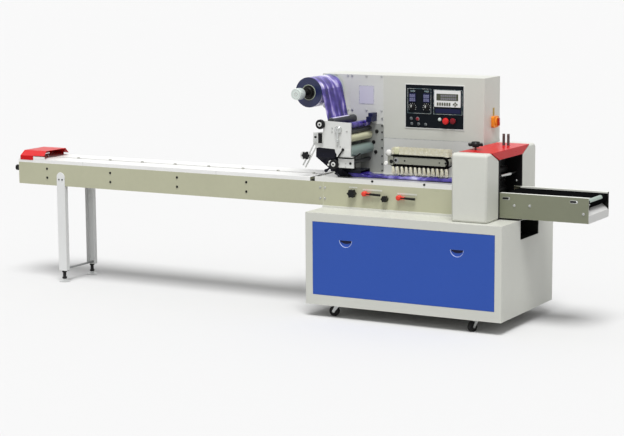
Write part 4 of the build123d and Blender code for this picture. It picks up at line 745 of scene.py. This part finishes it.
def dress_reel():
    low, high = measured("reel_shaft")
    x, z = (low[0] + high[0]) / 2, (low[2] + high[2]) / 2
    end = measured("film_roll")[0][1]
    knob = low[1] + 1
    studs = [turned((stud_x, end - 1.6, stud_z), FRONT, ((5, -1), (5, 1.4), (3.6, 2.2)), 12)
             for stud_x, stud_z in arc(x, z, 30, 0, 300, 5)]
    grip = []
    for reach, along in KNOB_PROFILE:
        ring = []
        for index in range(KNOB_RIBS):
            rib = reach * (1 - KNOB_RIB_DEPTH * (index % 2))
            heading = tau * index / KNOB_RIBS
            ring.append((x + rib * cos(heading), knob + along, z + rib * sin(heading)))
        grip.append(ring)
    for name, finish, slot, smooth, shapes in (
        ("roll_core_rings", "core card", "film_roll_wound", 40,
         [turned((x, end, z), FRONT, CORE_PROFILE, 40)]),
        ("reel_expanding_jaws", "dark screw", "reel_metal", 40,
         [turned((x, end, z), FRONT, JAW_PROFILE, 36), *studs]),
        ("shaft_sleeve", "dark screw", "reel_metal", 40,
         [turned((x, end - 0.4, z), FRONT, SLEEVE_PROFILE, 36)]),
        ("shaft_knob_grip", "reel_metal", "reel_metal", 12, [grip]),
        ("shaft_knob_face", "chrome", "reel_metal", 20, [turned((x, knob + 1, z), FRONT, KNOB_FACE, 36)]),
    ):
        piece(name, finish, shapes, "film_reel", smooth=smooth)


# Slack film tube: it leaves the forming tunnel square, then settles flat towards the sealing jaws
TUBE_TOPS = ((70, 757), (200, 753), (216, 748), (232, 744), (300, 744), (461, 749), (723, 751), (966, 750))
TUBE_FOLDS = 3
TUBE_STATIONS = 150
TUBE_SIDES = 40
TUBE_HALF_WIDTH = 62.6
SLACK_START = 205
SLACK_RUN = 90
SLACK_NARROWING = 6.2
FOLD_HEIGHT = 1.7


def tube_top(x):
    """Gives the tube's height at a place along it."""
    for (left, high), (right, low) in zip(TUBE_TOPS, TUBE_TOPS[1:]):
        if x <= right:
            return high + (low - high) * (x - left) / (right - left)
    return TUBE_TOPS[-1][1]


def lay_film_tube():
    low, high = measured("film_tube")
    middle = (low[1] + high[1]) / 2
    floor = low[2] + 0.6
    rings = []
    for station in range(TUBE_STATIONS + 1):
        x = low[0] + (high[0] - low[0]) * station / TUBE_STATIONS
        slack = min(1.0, max(0.0, (x - SLACK_START) / SLACK_RUN))
        top = tube_top(x) + slack * (1.8 * sin(x * 0.05) + 1.2 * sin(x * 0.13 + 1))
        half = TUBE_HALF_WIDTH - SLACK_NARROWING * slack + 0.8 * slack * sin(x * 0.07)
        square = 9 - 5.6 * slack
        ring = []
        for index in range(TUBE_SIDES):
            heading = tau * (index + 0.5) / TUBE_SIDES
            reach = (abs(cos(heading)) ** square + abs(sin(heading)) ** square) ** (-1 / square)
            across, up = reach * cos(heading), reach * sin(heading)
            fold = slack * FOLD_HEIGHT * sin(across * TUBE_FOLDS * pi + x * 0.021) if up > 0 else 0.0
            height = (0.5 + 0.5 * up) * (top - floor) + fold * (1 - across ** 2)
            ring.append((x, middle + half * across, floor + max(height, 0.0)))
        rings.append(ring)
    piece("slack_film_tube", "slack film", [rings], smooth=70, replaces=("film_tube",))


# Film unit: ring knobs, clamp band, roller brake, screws, bent stop rod, forming arms, star knob
RING_KNOBS = ((-20, 1049), (72, 813))
PLATE_SCREWS = ((55, 1028), (55, 1005), (155, 1013), (88, 922), (109, 919))
BRACKET_SCREWS = ((144, 820), (144, 798))
BRAKE_LEVER = ((90, 1018), (106, 1018), (103, 968), (112, 958), (108, 948), (88, 948), (84, 958), (93, 968))
FORMING_ARMS = (((6, 769), (74, 813)), ((28, 806), (66, 762)), ((49, 777), (96, 741)))
ARM_JOINTS = ((6, 769), (49, 777), (73, 760), (28, 806))
GUIDE_ROLLER = (42, 1063)
GUIDE_ROLLER_RADIUS = 24
GUIDE_WRAP = (62, 172)
BRAKE_BOSS_PROFILE = ((22.5, -8), (22.5, 2), (20, 4), (12, 4.4), (11, 9), (8, 10), (4, 10), (3, 6))
STAR_PROFILE = ((12, -2), (14, 0), (25, 2), (27, 6), (27, 13), (24, 16.5), (16, 18))
CLAMP_RIBS = 9
CLAMP_RIB_PITCH = 3.1


def dress_film_unit():
    unit_low = measured("film_unit_plate")[0]
    face = unit_low[1] + 22
    slot = "unit_plate_steel"
    for part, finish, y, profile, steps, smooth in (
        ("grips", "knob_plastic", face - 1,
         ((28, 0), (29, 2), (29, 16), (27.5, 18.6), (22, 19.6), (14.5, 19)), 48, 50),
        ("centres", "paper", face - 20, ((14, -1), (14, 1.2), (12.6, 2.2), (7.4, 2.2), (6, 1)), 28, 40),
        ("pins", "dark screw", face - 20, ((5.4, -1), (5.4, 2.6), (3.6, 3.4)), 16, 40),
    ):
        piece("ring_knob_" + part, finish, [turned((x, y, z), FRONT, profile, steps) for x, z in RING_KNOBS],
              smooth=smooth)
    piece("lower_plate_block", slot, [plate(rectangle(84, 178, 857, 904), face + 12, face - 1)], soften=1.2)
    screw_row("film_plate_screws", [(x, face, z) for x, z in PLATE_SCREWS], FRONT, 4.5)
    screw_row("film_bracket_screws", [(x, face + 2, z) for x, z in BRACKET_SCREWS], FRONT, 4.5)
    piece("film_plate_dark_fittings", "dark screw", [
        turned((177, face + 2, 821), FRONT, ((8, -1), (8, 1.6), (6.4, 2), (5.6, 0.4)), 24),
        turned((-54, face - 8, 971), FRONT, ((7, -1), (7, 6), (5, 8), (3.2, 8), (2.6, 4)), 20)])
    piece("clamp_band_ribs", "dark screw", [
        block((-32 + CLAMP_RIB_PITCH * index, face - 16.4, 936),
              (-30 + CLAMP_RIB_PITCH * index, face - 13, 996))
        for index in range(CLAMP_RIBS)], soften=0.4)
    piece("clamp_key_plate", "chrome", [block((-64, face - 10, 944), (-44, face - 7.4, 992))],
          soften=0.8)
    boss = turned((98, face - 8, 1021), FRONT, BRAKE_BOSS_PROFILE, 36)
    piece("brake_boss", "chrome", [boss], smooth=30)
    piece("brake_lever", "chrome", [
        plate(BRAKE_LEVER, face - 9, face - 15),
        turned((98, face - 15, 956), FRONT, ((8, -2), (8, 3), (6, 4.4)), 20)], soften=1.2)
    bend_stop_rod(face - 7)
    dress_forming_arms()
    star = turned((-121, unit_low[1] + 16, 857), FRONT, STAR_PROFILE, 60, 6, 0.24)
    piece("star_clamp_knob", "knob_plastic", [star], smooth=60)
    # The film over the guide roller is painted pale lilac as its highlight.
    over = arc(*GUIDE_ROLLER, GUIDE_ROLLER_RADIUS + 1, *GUIDE_WRAP, 20)
    under = arc(*GUIDE_ROLLER, GUIDE_ROLLER_RADIUS + 0.2, *GUIDE_WRAP[::-1], 20)
    piece("film_over_guide_roller", "roller wrap highlight", [plate(over + under, 470, 263)], smooth=60)
    piece("sensor_head", "sensor_case", [block((174, 480, 1080), (204, 541, 1104))], soften=2)


STOP_ROD = ((131, 904), (121, 889), (104, 866), (100, 859), (102, 854.5), (108, 853), (150, 852), (190, 853))
STOP_ROD_RISE = ((202, 2, 856), (222, 8, 870), (240, 18, 885))


def bend_stop_rod(y):
    """A black rod bent under the plate and back to the tower."""
    points = [(x, y, z) for x, z in STOP_ROD] + [(x, y + back, z) for x, back, z in STOP_ROD_RISE]
    piece("bent_stop_rod", "dark screw", [
        tube(points, 4.4, 12), turned(points[0], (0.5, 0, 0.86), ((8, -6), (8, 4), (5, 6)), 18)],
        smooth=60)


def dress_forming_arms():
    """Crossed black arms with knobs that carry the forming box's nose."""
    y = measured("forming_box")[0][1] - 6
    arms = [tube([(x, y, z) for x, z in arm], 6.5, 12) for arm in FORMING_ARMS]
    arms += [turned((x, y + 2, z), FRONT, ((10, -6), (10, 6), (8, 8)), 20) for x, z in ARM_JOINTS]
    piece("forming_arms", "former_paint", arms, smooth=50)
    pins = [turned((x, y - 6, z), FRONT, ((7, -1), (7, 3), (5.6, 4.6)), 18) for x, z in FORMING_ARMS[1]]
    pins.append(turned((38, y + 2, 822), FRONT, ((11, -5), (11, 6), (8, 8)), 20))
    piece("forming_arm_pins", "white knob", pins)


# Brush unit: toothed belt with tufts of bristle, its end plate, screws, boss and thumb screws
BELT_LOW = 802
BELT_HIGH = 877
BELT_BAND = 14.5
TOOTH_PITCH = 6
TOOTH_DIP = 2.4
UPPER_TUFTS = (392, 764, 15.5)
LOWER_TUFTS = (388, 766, 13)
BRUSH_PLATE_HOLES = ((420, 842, 4.5), (479, 841, 5), (706, 840, 4.5), (745, 839, 5.5))
THUMB_SCREWS = ((377, 887, 17), (359, 822, 13))
BRISTLE_HALF_WIDTH = 1.1
BRISTLE_HALF_DEPTH = 2.6


def tuft(root, heading, width, length, spread, hairs, half_depth):
    """A brush tuft: rows of thin tapering bristles that fan out, up for 1 and down for -1."""
    across, along = Vector((heading, 0, 0)), Vector((0, 0, heading))
    thick, deep = across * BRISTLE_HALF_WIDTH, Vector((0, BRISTLE_HALF_DEPTH, 0))
    bristles = []
    for hair in range(hairs):
        share = hair / (hairs - 1) - 0.5
        for side in (-1, -0.5, 0, 0.5, 1):
            lean = share * spread + 0.04 * sin(hair * 12.9 + side * 5 + root[0])
            reach = length * (0.94 + 0.06 * sin(hair * 7.3 + side * 11 + root[0] * 0.7))
            base = Vector(root) + across * share * width + Vector((0, side * half_depth, 0))
            tip = base + along * reach + across * lean * length + Vector((0, side * 1.6, 0))
            bristles.append([
                [end + thick * (a * narrow) + deep * (b * flat) for a, b in rectangle(-1, 1, -1, 1)]
                for end, narrow, flat in ((base, 1, 1), (tip, 0.45, 0.6))])
    return bristles


def belt_outlines(left, right):
    """Gives the toothed outer outline and the inner outline of the belt round its two pulleys."""
    radius = (BELT_HIGH - BELT_LOW) / 2
    middle = (BELT_LOW + BELT_HIGH) / 2
    straight = right - left - 2 * radius
    half_loop = straight + pi * radius
    count = 2 * int(2 * half_loop / TOOTH_PITCH)
    outer, inner = [], []
    for index in range(count):
        half, run = divmod(2 * half_loop * index / count, half_loop)
        if run < straight:
            x, z, out = left + radius + run, BELT_HIGH, (0.0, 1.0)
        else:
            out = (sin((run - straight) / radius), cos((run - straight) / radius))
            x, z = right - radius + radius * out[0], middle + radius * out[1]
        if half:
            x, z, out = left + right - x, 2 * middle - z, (-out[0], -out[1])
        dip = 0.0 if index % 2 else TOOTH_DIP
        outer.append((x - out[0] * dip, z - out[1] * dip))
        inner.append((x - out[0] * BELT_BAND, z - out[1] * BELT_BAND))
    return outer, inner


def dress_brush():
    (left, y_front, _), (right, y_back, _) = measured("brush_belt")
    frame_front = measured("brush_frame")[0][1]
    y_front -= 6
    outer, inner = belt_outlines(left, right - 9)
    rings = [[(x, y, z) for x, z in line]
             for line, y in ((outer, y_front), (outer, y_back), (inner, y_back), (inner, y_front))]
    piece("toothed_brush_belt", "belt_rubber", [rings], smooth=25, replaces=("brush_belt",), loop=True)
    tufts, shaded = [], []
    first, last, pitch = UPPER_TUFTS
    for index in range(int((last - first) / pitch)):
        root = (first + pitch * (index + 0.5), (y_front + y_back) / 2, BELT_HIGH - 3)
        tufts += tuft(root, 1, 12, 45, 0.07, 6, 22)
    first, last, count = LOWER_TUFTS
    pitch = (last - first) / count
    for index in range(count):
        x = first + pitch * (index + 0.5)
        tufts += tuft((x, y_front + 8, BELT_LOW + 3), -1, pitch * 0.3, 50, 0.14, 5, 6)
        # The rear rows take the darker bristle as painted shade behind the pale front tufts.
        if index < count - 1:
            shaded += tuft((x + pitch / 2, y_back - 20, BELT_LOW + 3), -1, pitch * 0.3, 49, 0.14, 5, 12)
    piece("brush_bristles", "bristle", tufts, smooth=20)
    piece("rear_brush_bristles_in_painted_shade", "shaded bristle", shaded, smooth=20)
    slot = "brush_frame_steel"
    piece("belt_end_plate", slot, [plate(rounded(368, 404, 812, 866, 6), y_front + 1, y_front - 1.6)],
          soften=0.6)
    face = frame_front + 10
    holes = [turned((x, face, z), FRONT, ((reach, -1), (reach, 0.8), (reach * 0.6, 0.9)), 18)
             for x, z, reach in BRUSH_PLATE_HOLES]
    holes.append(turned((392, y_front + 2, 833), FRONT, ((12, -2), (12, 4), (9, 6)), 28))
    holes.append(turned((420, face, 842), FRONT, ((8, -1), (8, 3.4), (6, 4.2)), 24))
    piece("brush_plate_screws", "dark screw", holes)
    piece("brush_pulley_boss", "tie rod", [turned((423, face + 0.4, 841), FRONT, (
        (16, -1), (16, 1.6), (13, 2.6), (9, 2.6), (8, 1.4)), 32)])
    piece("take_up_thumb_screws", "white knob", [
        turned((x, frame_front + 13.6, z), FRONT,
               ((reach * 0.8, 0), (reach, 2), (reach, 15), (reach * 0.8, 18)), 40, 10, 0.08)
        for x, z, reach in THUMB_SCREWS], smooth=45)
    wiper = block((404, y_front + 4, 874), (440, y_front + 40, 917))
    piece("cream_belt_wiper", "cream_rubber", [wiper], soften=6)


# Line plate: strip screws, hand knobs, clamp levers and bare labels
LEVERS = (("lever_left", 286, 650, 392), ("lever_right", 514, 640, 620))
HAND_KNOBS = (("knob_left", 202, 646, 26), ("knob_right", 421, 627, 20))
LINE_LABELS = ((268, 398, 668, 677), (176, 232, 678, 685), (498, 626, 658, 667))
BEAM_TIES = (-2070, -1564, -1051, -541)


def dress_line_plate():
    face = measured("film_table")[0][1]
    strip = [(x, face, 725) for x in (332, 673)]
    screw_row("table_strip_screws", strip, FRONT, 7, "dark screw")
    piece("blank_lever_labels", "pale label", [
        plate(rounded(*edges, 1.5), face, face - 0.8) for edges in LINE_LABELS])
    joint = [(x, face, z) for x in (-20, 12) for z in (604, 669)]
    screw_row("beam_joint_screws", joint, FRONT, 5.5, washer=7)
    back = measured("infeed_side_plates")[1][1]
    for name, y, axis in (("beam_tie_screws", face, FRONT), ("beam_rear_tie_screws", back, BACK)):
        screw_row(name, [(x, y, z) for x in BEAM_TIES for z in (611, 670)], axis, 6, "dark screw", 8)
    for body, x, z, tip in LEVERS:
        front = measured(body)[0][1]
        outline = ((x + 6, z + 9), (x + 38, z + 6.2), (x + 38, z - 7.2), (x + 6, z - 9))
        piece(body + "_hub_cover", "lever red", [
            turned((x, face - 1, z), FRONT, ((15, 0), (15.4, 3), (15.4, 24), (13, 28.4), (8, 30.2)), 30),
            plate(outline, front + 24, front + 4)], body, soften=2)
        grip = ((x + 30, z - 0.6), (x + 60, z - 1.8), (tip - 8, z - 3.2), (tip, z - 3.4))
        rod = tube([(along, front + 13, up) for along, up in grip], 7.2, 16)
        piece(body + "_grip", "lever_plastic", [rod], body=body, soften=2, smooth=60)
    for body, x, z, reach in HAND_KNOBS:
        piece(body + "_lobes", "knob_plastic", [turned((x, measured(body)[0][1] + 16, z), FRONT, (
            (reach * 0.55, -4), (reach * 0.92, 0), (reach, 3), (reach, 11), (reach * 0.9, 14.6),
            (reach * 0.5, 15.9)), 60, 6, 0.2)], body=body, smooth=60)
        seat = turned((x, face, z), FRONT, ((reach * 0.62, -0.2), (reach * 0.62, 2.2), (reach * 0.5, 3)), 28)
        piece(body + "_seat", "chrome", [seat])


# Infeed: black sheets of painted shade in the gap before the table, legs with a thin tie, feet, deck seams
LEG_SHEET = 3
LEG_DEPTH = 32
LEG_DROP = 16
LEG_BOLTS = (-13, 13)
LEG_BOLT_HEIGHT = 604
FOOT_PROFILE = ((35, 0), (36, 1.5), (36, 4), (22, 9), (14, 14), (13, 19))
DECK_SEAMS = (-1780, -760)


def dress_gap():
    """Black sheets on both sides of the chain, where the deck ends before the film table: painted shade of
    the open gap.
    """
    left, right = measured("infeed_deck_guides")[1][0] + 1, measured("film_table")[0][0] - 1
    chain_low, chain_high = measured("pusher_chain")
    piece("chain_gap_painted_shade", "dark_liner", [
        block((left, front, 703), (right, back, 712))
        for front, back in ((229, chain_low[1] - 3), (chain_high[1] + 3, 558))], soften=1)


def stand_legs():
    """Two channel legs with rounded heads, joined by a thin tie rod."""
    (left, front, foot), (right, back, head) = measured("infeed_leg_frame")
    middle = (left + right) / 2
    reach = (right - left) / 2
    bottom = foot - LEG_DROP
    flange_top = measured("infeed_side_plates")[0][2]
    outline = [(left, bottom), (right, bottom), *arc(middle, head - reach, reach, 0, 180, 16)]
    shapes = []
    for face, inward in ((front, 1), (back, -1)):
        near, inner, far = (face + inward * depth for depth in (0, LEG_SHEET, LEG_DEPTH))
        shapes.append(plate(outline, max(near, inner), min(near, inner)))
        low, high = sorted((inner, far))
        for edge in (left, right - LEG_SHEET):
            shapes.append(block((edge, low, bottom), (edge + LEG_SHEET, high, flange_top)))
        shapes.append(block((left, low, bottom), (right, high, bottom + LEG_SHEET)))
    piece("channel_legs", "leg_paint", shapes, soften=0.6, replaces=("infeed_leg_frame",))
    rod = tube([(middle, y, bottom + 10) for y in (front + LEG_SHEET, back - LEG_SHEET)], 6.5, 16)
    piece("leg_tie_rod", "tie rod", [rod])
    for name, y, axis in (("front", front, FRONT), ("rear", back, BACK)):
        bolts = [(middle + side, y, LEG_BOLT_HEIGHT) for side in LEG_BOLTS]
        screw_row(name + "_leg_bolts", bolts, axis, 5, "dark screw")


def stand_feet():
    """Levelling feet: broad pale pads under dark studs."""
    low, high = measured("levelling_feet")
    x = (low[0] + high[0]) / 2
    pads, studs = [], []
    for y in (low[1] + 24, high[1] - 24):
        pads.append(turned((x, y, low[2]), UP, FOOT_PROFILE, 44))
        studs.append(turned((x, y, low[2] + 18), UP, ((11, 0), (11, 58)), 24))
        studs.append(turned((x, y, low[2] + 22), UP, ((17, 0), (17, 8), (15, 10)), 6))
        studs.append(turned((x, y, high[2] - 28), UP, ((17, 0), (17, 9), (15, 11)), 6))
    piece("foot_pads", "foot silver", pads, replaces=("levelling_feet",))
    piece("foot_studs", "foot_rubber", studs, soften=0.4)


def mark_deck_seams():
    (_, front, low), (_, back, high) = measured("infeed_deck_guides")
    shapes = []
    for x in DECK_SEAMS:
        shapes.append(block((x - 0.8, front - 0.4, low + 1), (x + 0.8, front + 0.4, high)))
        for y in (front + 60, back - 60):
            shapes.append(turned((x + 20, y, high), UP, ((5, -0.6), (5, 0.6), (3.4, 1)), 16))
    piece("deck_seams", "grey line", shapes)


# Sealing housing: jaw teeth, post springs, knob cap, and what shows inside the exit side
JAW_TEETH = 9
SPRING_TURNS = 7
SPRING_STEPS = 14
SPRING_PLACES = ((1041, 533), (1070, 533))
SPRING_RADIUS = 7.2
SPRING_WIRE = 1.5
SPRING_START = 4
SPRING_HEIGHT = 52
ROD_X, ROD_Z = 1112, 788


def dress_sealing():
    for body in ("jaw_upper", "jaw_lower"):
        low, high = measured(body)
        x, z, reach = (low[0] + high[0]) / 2, (low[2] + high[2]) / 2, (high[2] - low[2]) / 2
        teeth = []
        for sign in (-1, 1):
            for index in range(JAW_TEETH):
                left = x - 13 + 26 * index / JAW_TEETH
                ends = sorted((z + sign * (reach - 1.2), z + sign * (reach - 0.1)))
                teeth.append(block((left, low[1] + 60, ends[0]), (left + 1.5, high[1] - 60, ends[1])))
        piece(body + "_crimp_teeth", "chrome", teeth, body)
    top = measured("seal_cover")[1][2]
    springs = []
    for x, y in SPRING_PLACES:
        points = []
        for index in range(SPRING_TURNS * SPRING_STEPS + 1):
            heading = tau * index / SPRING_STEPS
            rise = SPRING_START + SPRING_HEIGHT * index / (SPRING_TURNS * SPRING_STEPS)
            points.append((x + SPRING_RADIUS * cos(heading), y + SPRING_RADIUS * sin(heading), top + rise))
        springs.append(tube(points, SPRING_WIRE, 6))
    piece("post_springs", "dark screw", springs, smooth=60)
    low, high = measured("pressure_knob")
    place = ((low[0] + high[0]) / 2, (low[1] + high[1]) / 2, high[2] - 0.4)
    cap = turned(place, UP, ((17, -1), (16, 1), (9, 1.8), (8.4, 0.8)), 32)
    piece("pressure_knob_cap", "knob_plastic", [cap], body="pressure_knob")
    piece("exit_cross_rod", "dark screw", [tube([(ROD_X, y, ROD_Z) for y in (229, 566)], 5, 16)])
    sleeve = turned((ROD_X, 466, ROD_Z), FRONT, ((8, 0), (9.5, 1.5), (9.5, 138), (8, 140)), 24)
    piece("cross_rod_sleeve", "screw", [sleeve])
    stud = turned((ROD_X, 566, 737), FRONT, ((8, 0), (8, 10), (6, 12)), 20)
    piece("rear_plate_stud", "screw", [stud])


# Exit conveyor: slots with bright rims, folded flanges, end blocks with a black sheet of painted shade inside
# the rear plate, end tray, end roller
EXIT_SLOTS = ((1182, 676), (1591, 681))
EXIT_SCREWS = ((1236, 638), (1331, 642), (1653, 616))
FLANGE_START = 47
FLANGE = 13


def slot_outline(x, z, half, reach):
    """Gives a round-ended slot's outline."""
    return arc(x + half, z, reach, -90, 90, 8) + arc(x - half, z, reach, 90, 270, 8)


def dress_exit():
    (left, front, bottom), (right, back, top) = measured("exit_side_plates")
    piece("slot_rims", "chrome", [
        plate(slot_outline(x + 4, z, 16, 8.5), front, front - 0.8) for x, z in EXIT_SLOTS], soften=0.3)
    piece("slot_shadows", "dark screw", [
        plate(slot_outline(x, z, 13, 6), front - 0.7, front - 1.3) for x, z in EXIT_SLOTS])
    screw_row("exit_plate_screws", [(x, front, z) for x, z in EXIT_SCREWS], FRONT, 6.5, washer=8)
    left += FLANGE_START
    piece("exit_plate_flanges", "flange", [
        block((left, front, top - 1.2), (right, front + 26, top + 0.6)),
        block((left, back - 20, top - 1.2), (right, back, top + 0.6)),
        block((left, back - 21, top - 9), (right, back - 19.6, top + 0.6))], soften=0.6)
    piece("exit_end_blocks_and_painted_shade", "dark_liner", [
        block((right - 2, back - 12, bottom + 44), (right, back, top - 1.4)),
        block((right - 42, front + FLANGE, 640), (right - 1, front + FLANGE + 9, 692)),
        # A black sheet along the rear plate's inner face is painted shade.
        block((left, back - 5.5, 600), (right - 3, back - 3, top - 2))], soften=0.8)
    screw_row("end_block_screw", [(right - 2.9, front + FLANGE + 4.5, 668)], RIGHT, 4)


def hang_exit_tray():
    """The end tray: level under the belt, sloped past its end, with a square apron."""
    (left, front, _), (right, back, _) = measured("exit_tray")
    outline = ((right, 561), (right, 606), (1647, 638), (left, 638),
               (left, 635), (1645.5, 635), (right - 3, 604.4), (right - 3, 561))
    tray = plate(outline, back - 1, front + 1)
    piece("sloped_end_tray", "tray_paint", [tray], soften=0.5, replaces=("exit_tray",))
    low, high = measured("exit_belt")
    length = high[1] - low[1] - 78
    piece("exit_end_roller", "green steel", [turned((high[0] - 15, high[1] - 70, 680), FRONT, (
        (12.5, 0), (14, 2), (14, length - 2), (12.5, length)), 44)], smooth=30)


# Cabinet: half-moon door pulls with rims painted pale as a highlight, linings, and navy plates of painted
# shade under their top edges
DOOR_PULLS = (272, 987)
PULL_TOP = 398
PULL_PROFILE = ((42.5, 0.6), (43, 0.1), (41.6, 0), (40.4, 0.1), (40, 6), (41.5, 8))


def dress_door_pulls():
    face = measured("door_panel")[0][1]
    highlight_rims, linings, pull_shades = [], [], []
    for x in DOOR_PULLS:
        edges = [[(px, face + depth, pz) for px, pz in arc(x, PULL_TOP + 0.5, reach, 180, 360, 24)]
                 for reach, depth in PULL_PROFILE]
        # The rims are painted pale blue as a highlight on the curved lip.
        highlight_rims.append(list(zip(*edges)))
        linings.append(plate(arc(x, PULL_TOP, 41, 180, 360, 24), face + 9.6, face + 8.4))
        # A navy half-oval under each top edge is painted shade of the recess.
        pull_shades.append(plate(arc(x, PULL_TOP, 38.5, 180, 360, 24, 20), face + 8.6, face + 7.8))
    piece("door_pull_highlight_rims", "pull rim", highlight_rims, smooth=50)
    piece("door_pull_linings", "door_paint", linings)
    piece("door_pull_painted_shade", "sensor_case", pull_shades)


# Sealing housing: columns with inner shoulders, and the red cover that fills between them
FLARE = 108


def build_seal_shell():
    cover_low, cover_high = measured("seal_cover")
    shoulder, top = cover_low[2], cover_high[2]
    for side, inner, outward, turn in (("front", cover_low[1], -1, 22), ("rear", cover_high[1], 1, 34)):
        node = "seal_" + side + "_column"
        low, high = measured(node)
        outer = low[1] if outward < 0 else high[1]
        profile = [(inner, low[2]), (inner, shoulder), (inner + outward * FLARE, top)]
        for step in range(7):
            heading = pi * step / 12
            profile.append((outer - outward * turn * (1 - sin(heading)), top - turn * (1 - cos(heading))))
        profile.append((outer, low[2]))
        shell = [[(x, y, z) for y, z in profile] for x in (low[0], high[0])]
        piece(side + "_column_shell", "housing_paint", [shell], soften=12, replaces=(node,))
    section = ((cover_low[1] + 1, shoulder), (cover_high[1] - 1, shoulder),
               (cover_high[1] + FLARE - 4, top + 0.5), (cover_low[1] - FLARE - 3, top + 0.5))
    cover = [[(x, y, z) for y, z in section] for x in (cover_low[0], cover_high[0] + 0.4)]
    piece("red_top_cover", "red_cover_paint", [cover], soften=1.5, replaces=("seal_cover",))


# Infeed hood: folded red sheet, open towards the machine
HOOD_SHEET = 2.5


def slab(corners):
    """A sheet of even thickness behind a flat face given by its corners."""
    points = [Vector(point) for point in corners]
    normal = (points[1] - points[0]).cross(points[2] - points[0]).normalized()
    return [points, [point - HOOD_SHEET * normal for point in points]]


def fold_hood():
    left = measured("infeed_hood")[0][0] + 1.8
    near, flange, mouth_low, mouth_top, mouth_back = (left + reach for reach in (14, 118, 212, 180, 159))
    front, brow, nape, back = 225, 290, 500, 562
    hem, eave, top, rear_eave = 721, 748, 777, 741
    section = ((14, front, 732), (0, back, 732), (0, back, rear_eave), (0, nape, top), (0, brow, top),
               (14, front, eave))
    piece("folded_infeed_hood", "red_cover_paint", [
        slab(((near, front, hem), (flange, front, hem), (flange, front, eave), (near, front, eave))),
        slab(((near, front, eave), (mouth_low, front, 752), (mouth_top, brow, top), (left, brow, top))),
        slab(((left, brow, top), (mouth_top, brow, top), (mouth_top, nape, top), (left, nape, top))),
        slab(((left, nape, top), (mouth_top, nape, top), (mouth_back, back, rear_eave),
              (left, back, rear_eave))),
        slab(((flange, back, 716), (left, back, 716), (left, back, rear_eave), (flange, back, rear_eave))),
        [[(left + inset + shift, y, z) for inset, y, z in section] for shift in (0, HOOD_SHEET)],
    ], soften=0.5, replaces=("infeed_hood",))
    lip = block((flange, front + 2, 727), (mouth_low, front + 4, 745))
    piece("hood_rail_lip", "deck_steel", [lip], soften=0.5)


for dress in (dress_panel, dress_switch, dress_tower, dress_reel, lay_film_tube, dress_film_unit, dress_brush,
              dress_line_plate, dress_gap, stand_legs, stand_feet, mark_deck_seams, dress_sealing, dress_exit,
              hang_exit_tray, dress_door_pulls, build_seal_shell, fold_hood):
    dress()


# Floor and light
FLOOR_REACH = 120.0
LAMP_HEADING = (0.17, -0.36, 0.92)
LAMP_ENERGY = 3.0
LAMP_ANGLE = 28.0


def grey(level):
    """Gives a grey."""
    return (level, level, level, 1)


def seen_straight(tree):
    """Gives 1 on the rays of the camera, of reflections and through glass."""
    path = add_node(tree, "ShaderNodeLightPath").outputs
    seen = calculate(tree, "ADD", path["Is Camera Ray"], path["Is Glossy Ray"], clamp=True)
    return calculate(tree, "ADD", seen, path["Is Transmission Ray"], clamp=True)


def lay_floor():
    """A pale floor that runs past the view, lighter to the camera than to the object."""
    mesh = bpy.data.meshes.new("studio_floor")
    edges = rectangle(-FLOOR_REACH, FLOOR_REACH, -FLOOR_REACH, FLOOR_REACH)
    mesh.from_pydata([(*point, 0) for point in edges], [], [(0, 1, 2, 3)])
    floor = bpy.data.objects.new("studio_floor", mesh)
    bpy.context.scene.collection.objects.link(floor)
    material, tree, shader = start_material("pale studio floor")
    patches = add_node(tree, "ShaderNodeTexNoise", {"Scale": 0.4, "Detail": 2.0}).outputs["Fac"]
    pale = blend_colours(tree, patches, grey(0.635), grey(0.645))
    wire(tree, shader, Base_Color=blend_colours(tree, seen_straight(tree), grey(0.43), pale), Roughness=0.9,
         Specular_IOR_Level=0.1)
    mesh.materials.append(material)


def light_studio():
    """One broad soft lamp from the upper front left, and an even surround."""
    lamp = bpy.data.lights.new("broad_lamp", "SUN")
    lamp.energy = LAMP_ENERGY
    lamp.angle = radians(LAMP_ANGLE)
    broad = bpy.data.objects.new("broad_lamp", lamp)
    broad.rotation_euler = Vector(LAMP_HEADING).to_track_quat("Z", "Y").to_euler()
    bpy.context.scene.collection.objects.link(broad)
    world = bpy.data.worlds.new("studio_surround")
    world.use_nodes = True
    bpy.context.scene.world = world
    tree = world.node_tree
    heading = add_node(tree, "ShaderNodeTexCoord").outputs["Generated"]
    height = add_node(tree, "ShaderNodeSeparateXYZ", {0: heading}).outputs["Z"]
    glow = ramp(tree, height, ((0.0, grey(0.50)), (0.25, grey(0.57)), (0.6, grey(0.60)), (1.0, grey(0.64))))
    surround = blend_colours(tree, seen_straight(tree), glow, grey(0.92))
    feed(tree, tree.nodes["Background"].inputs["Color"], surround)


place_camera()
lay_floor()
light_studio()
bpy.context.scene.view_settings.view_transform = "Standard"
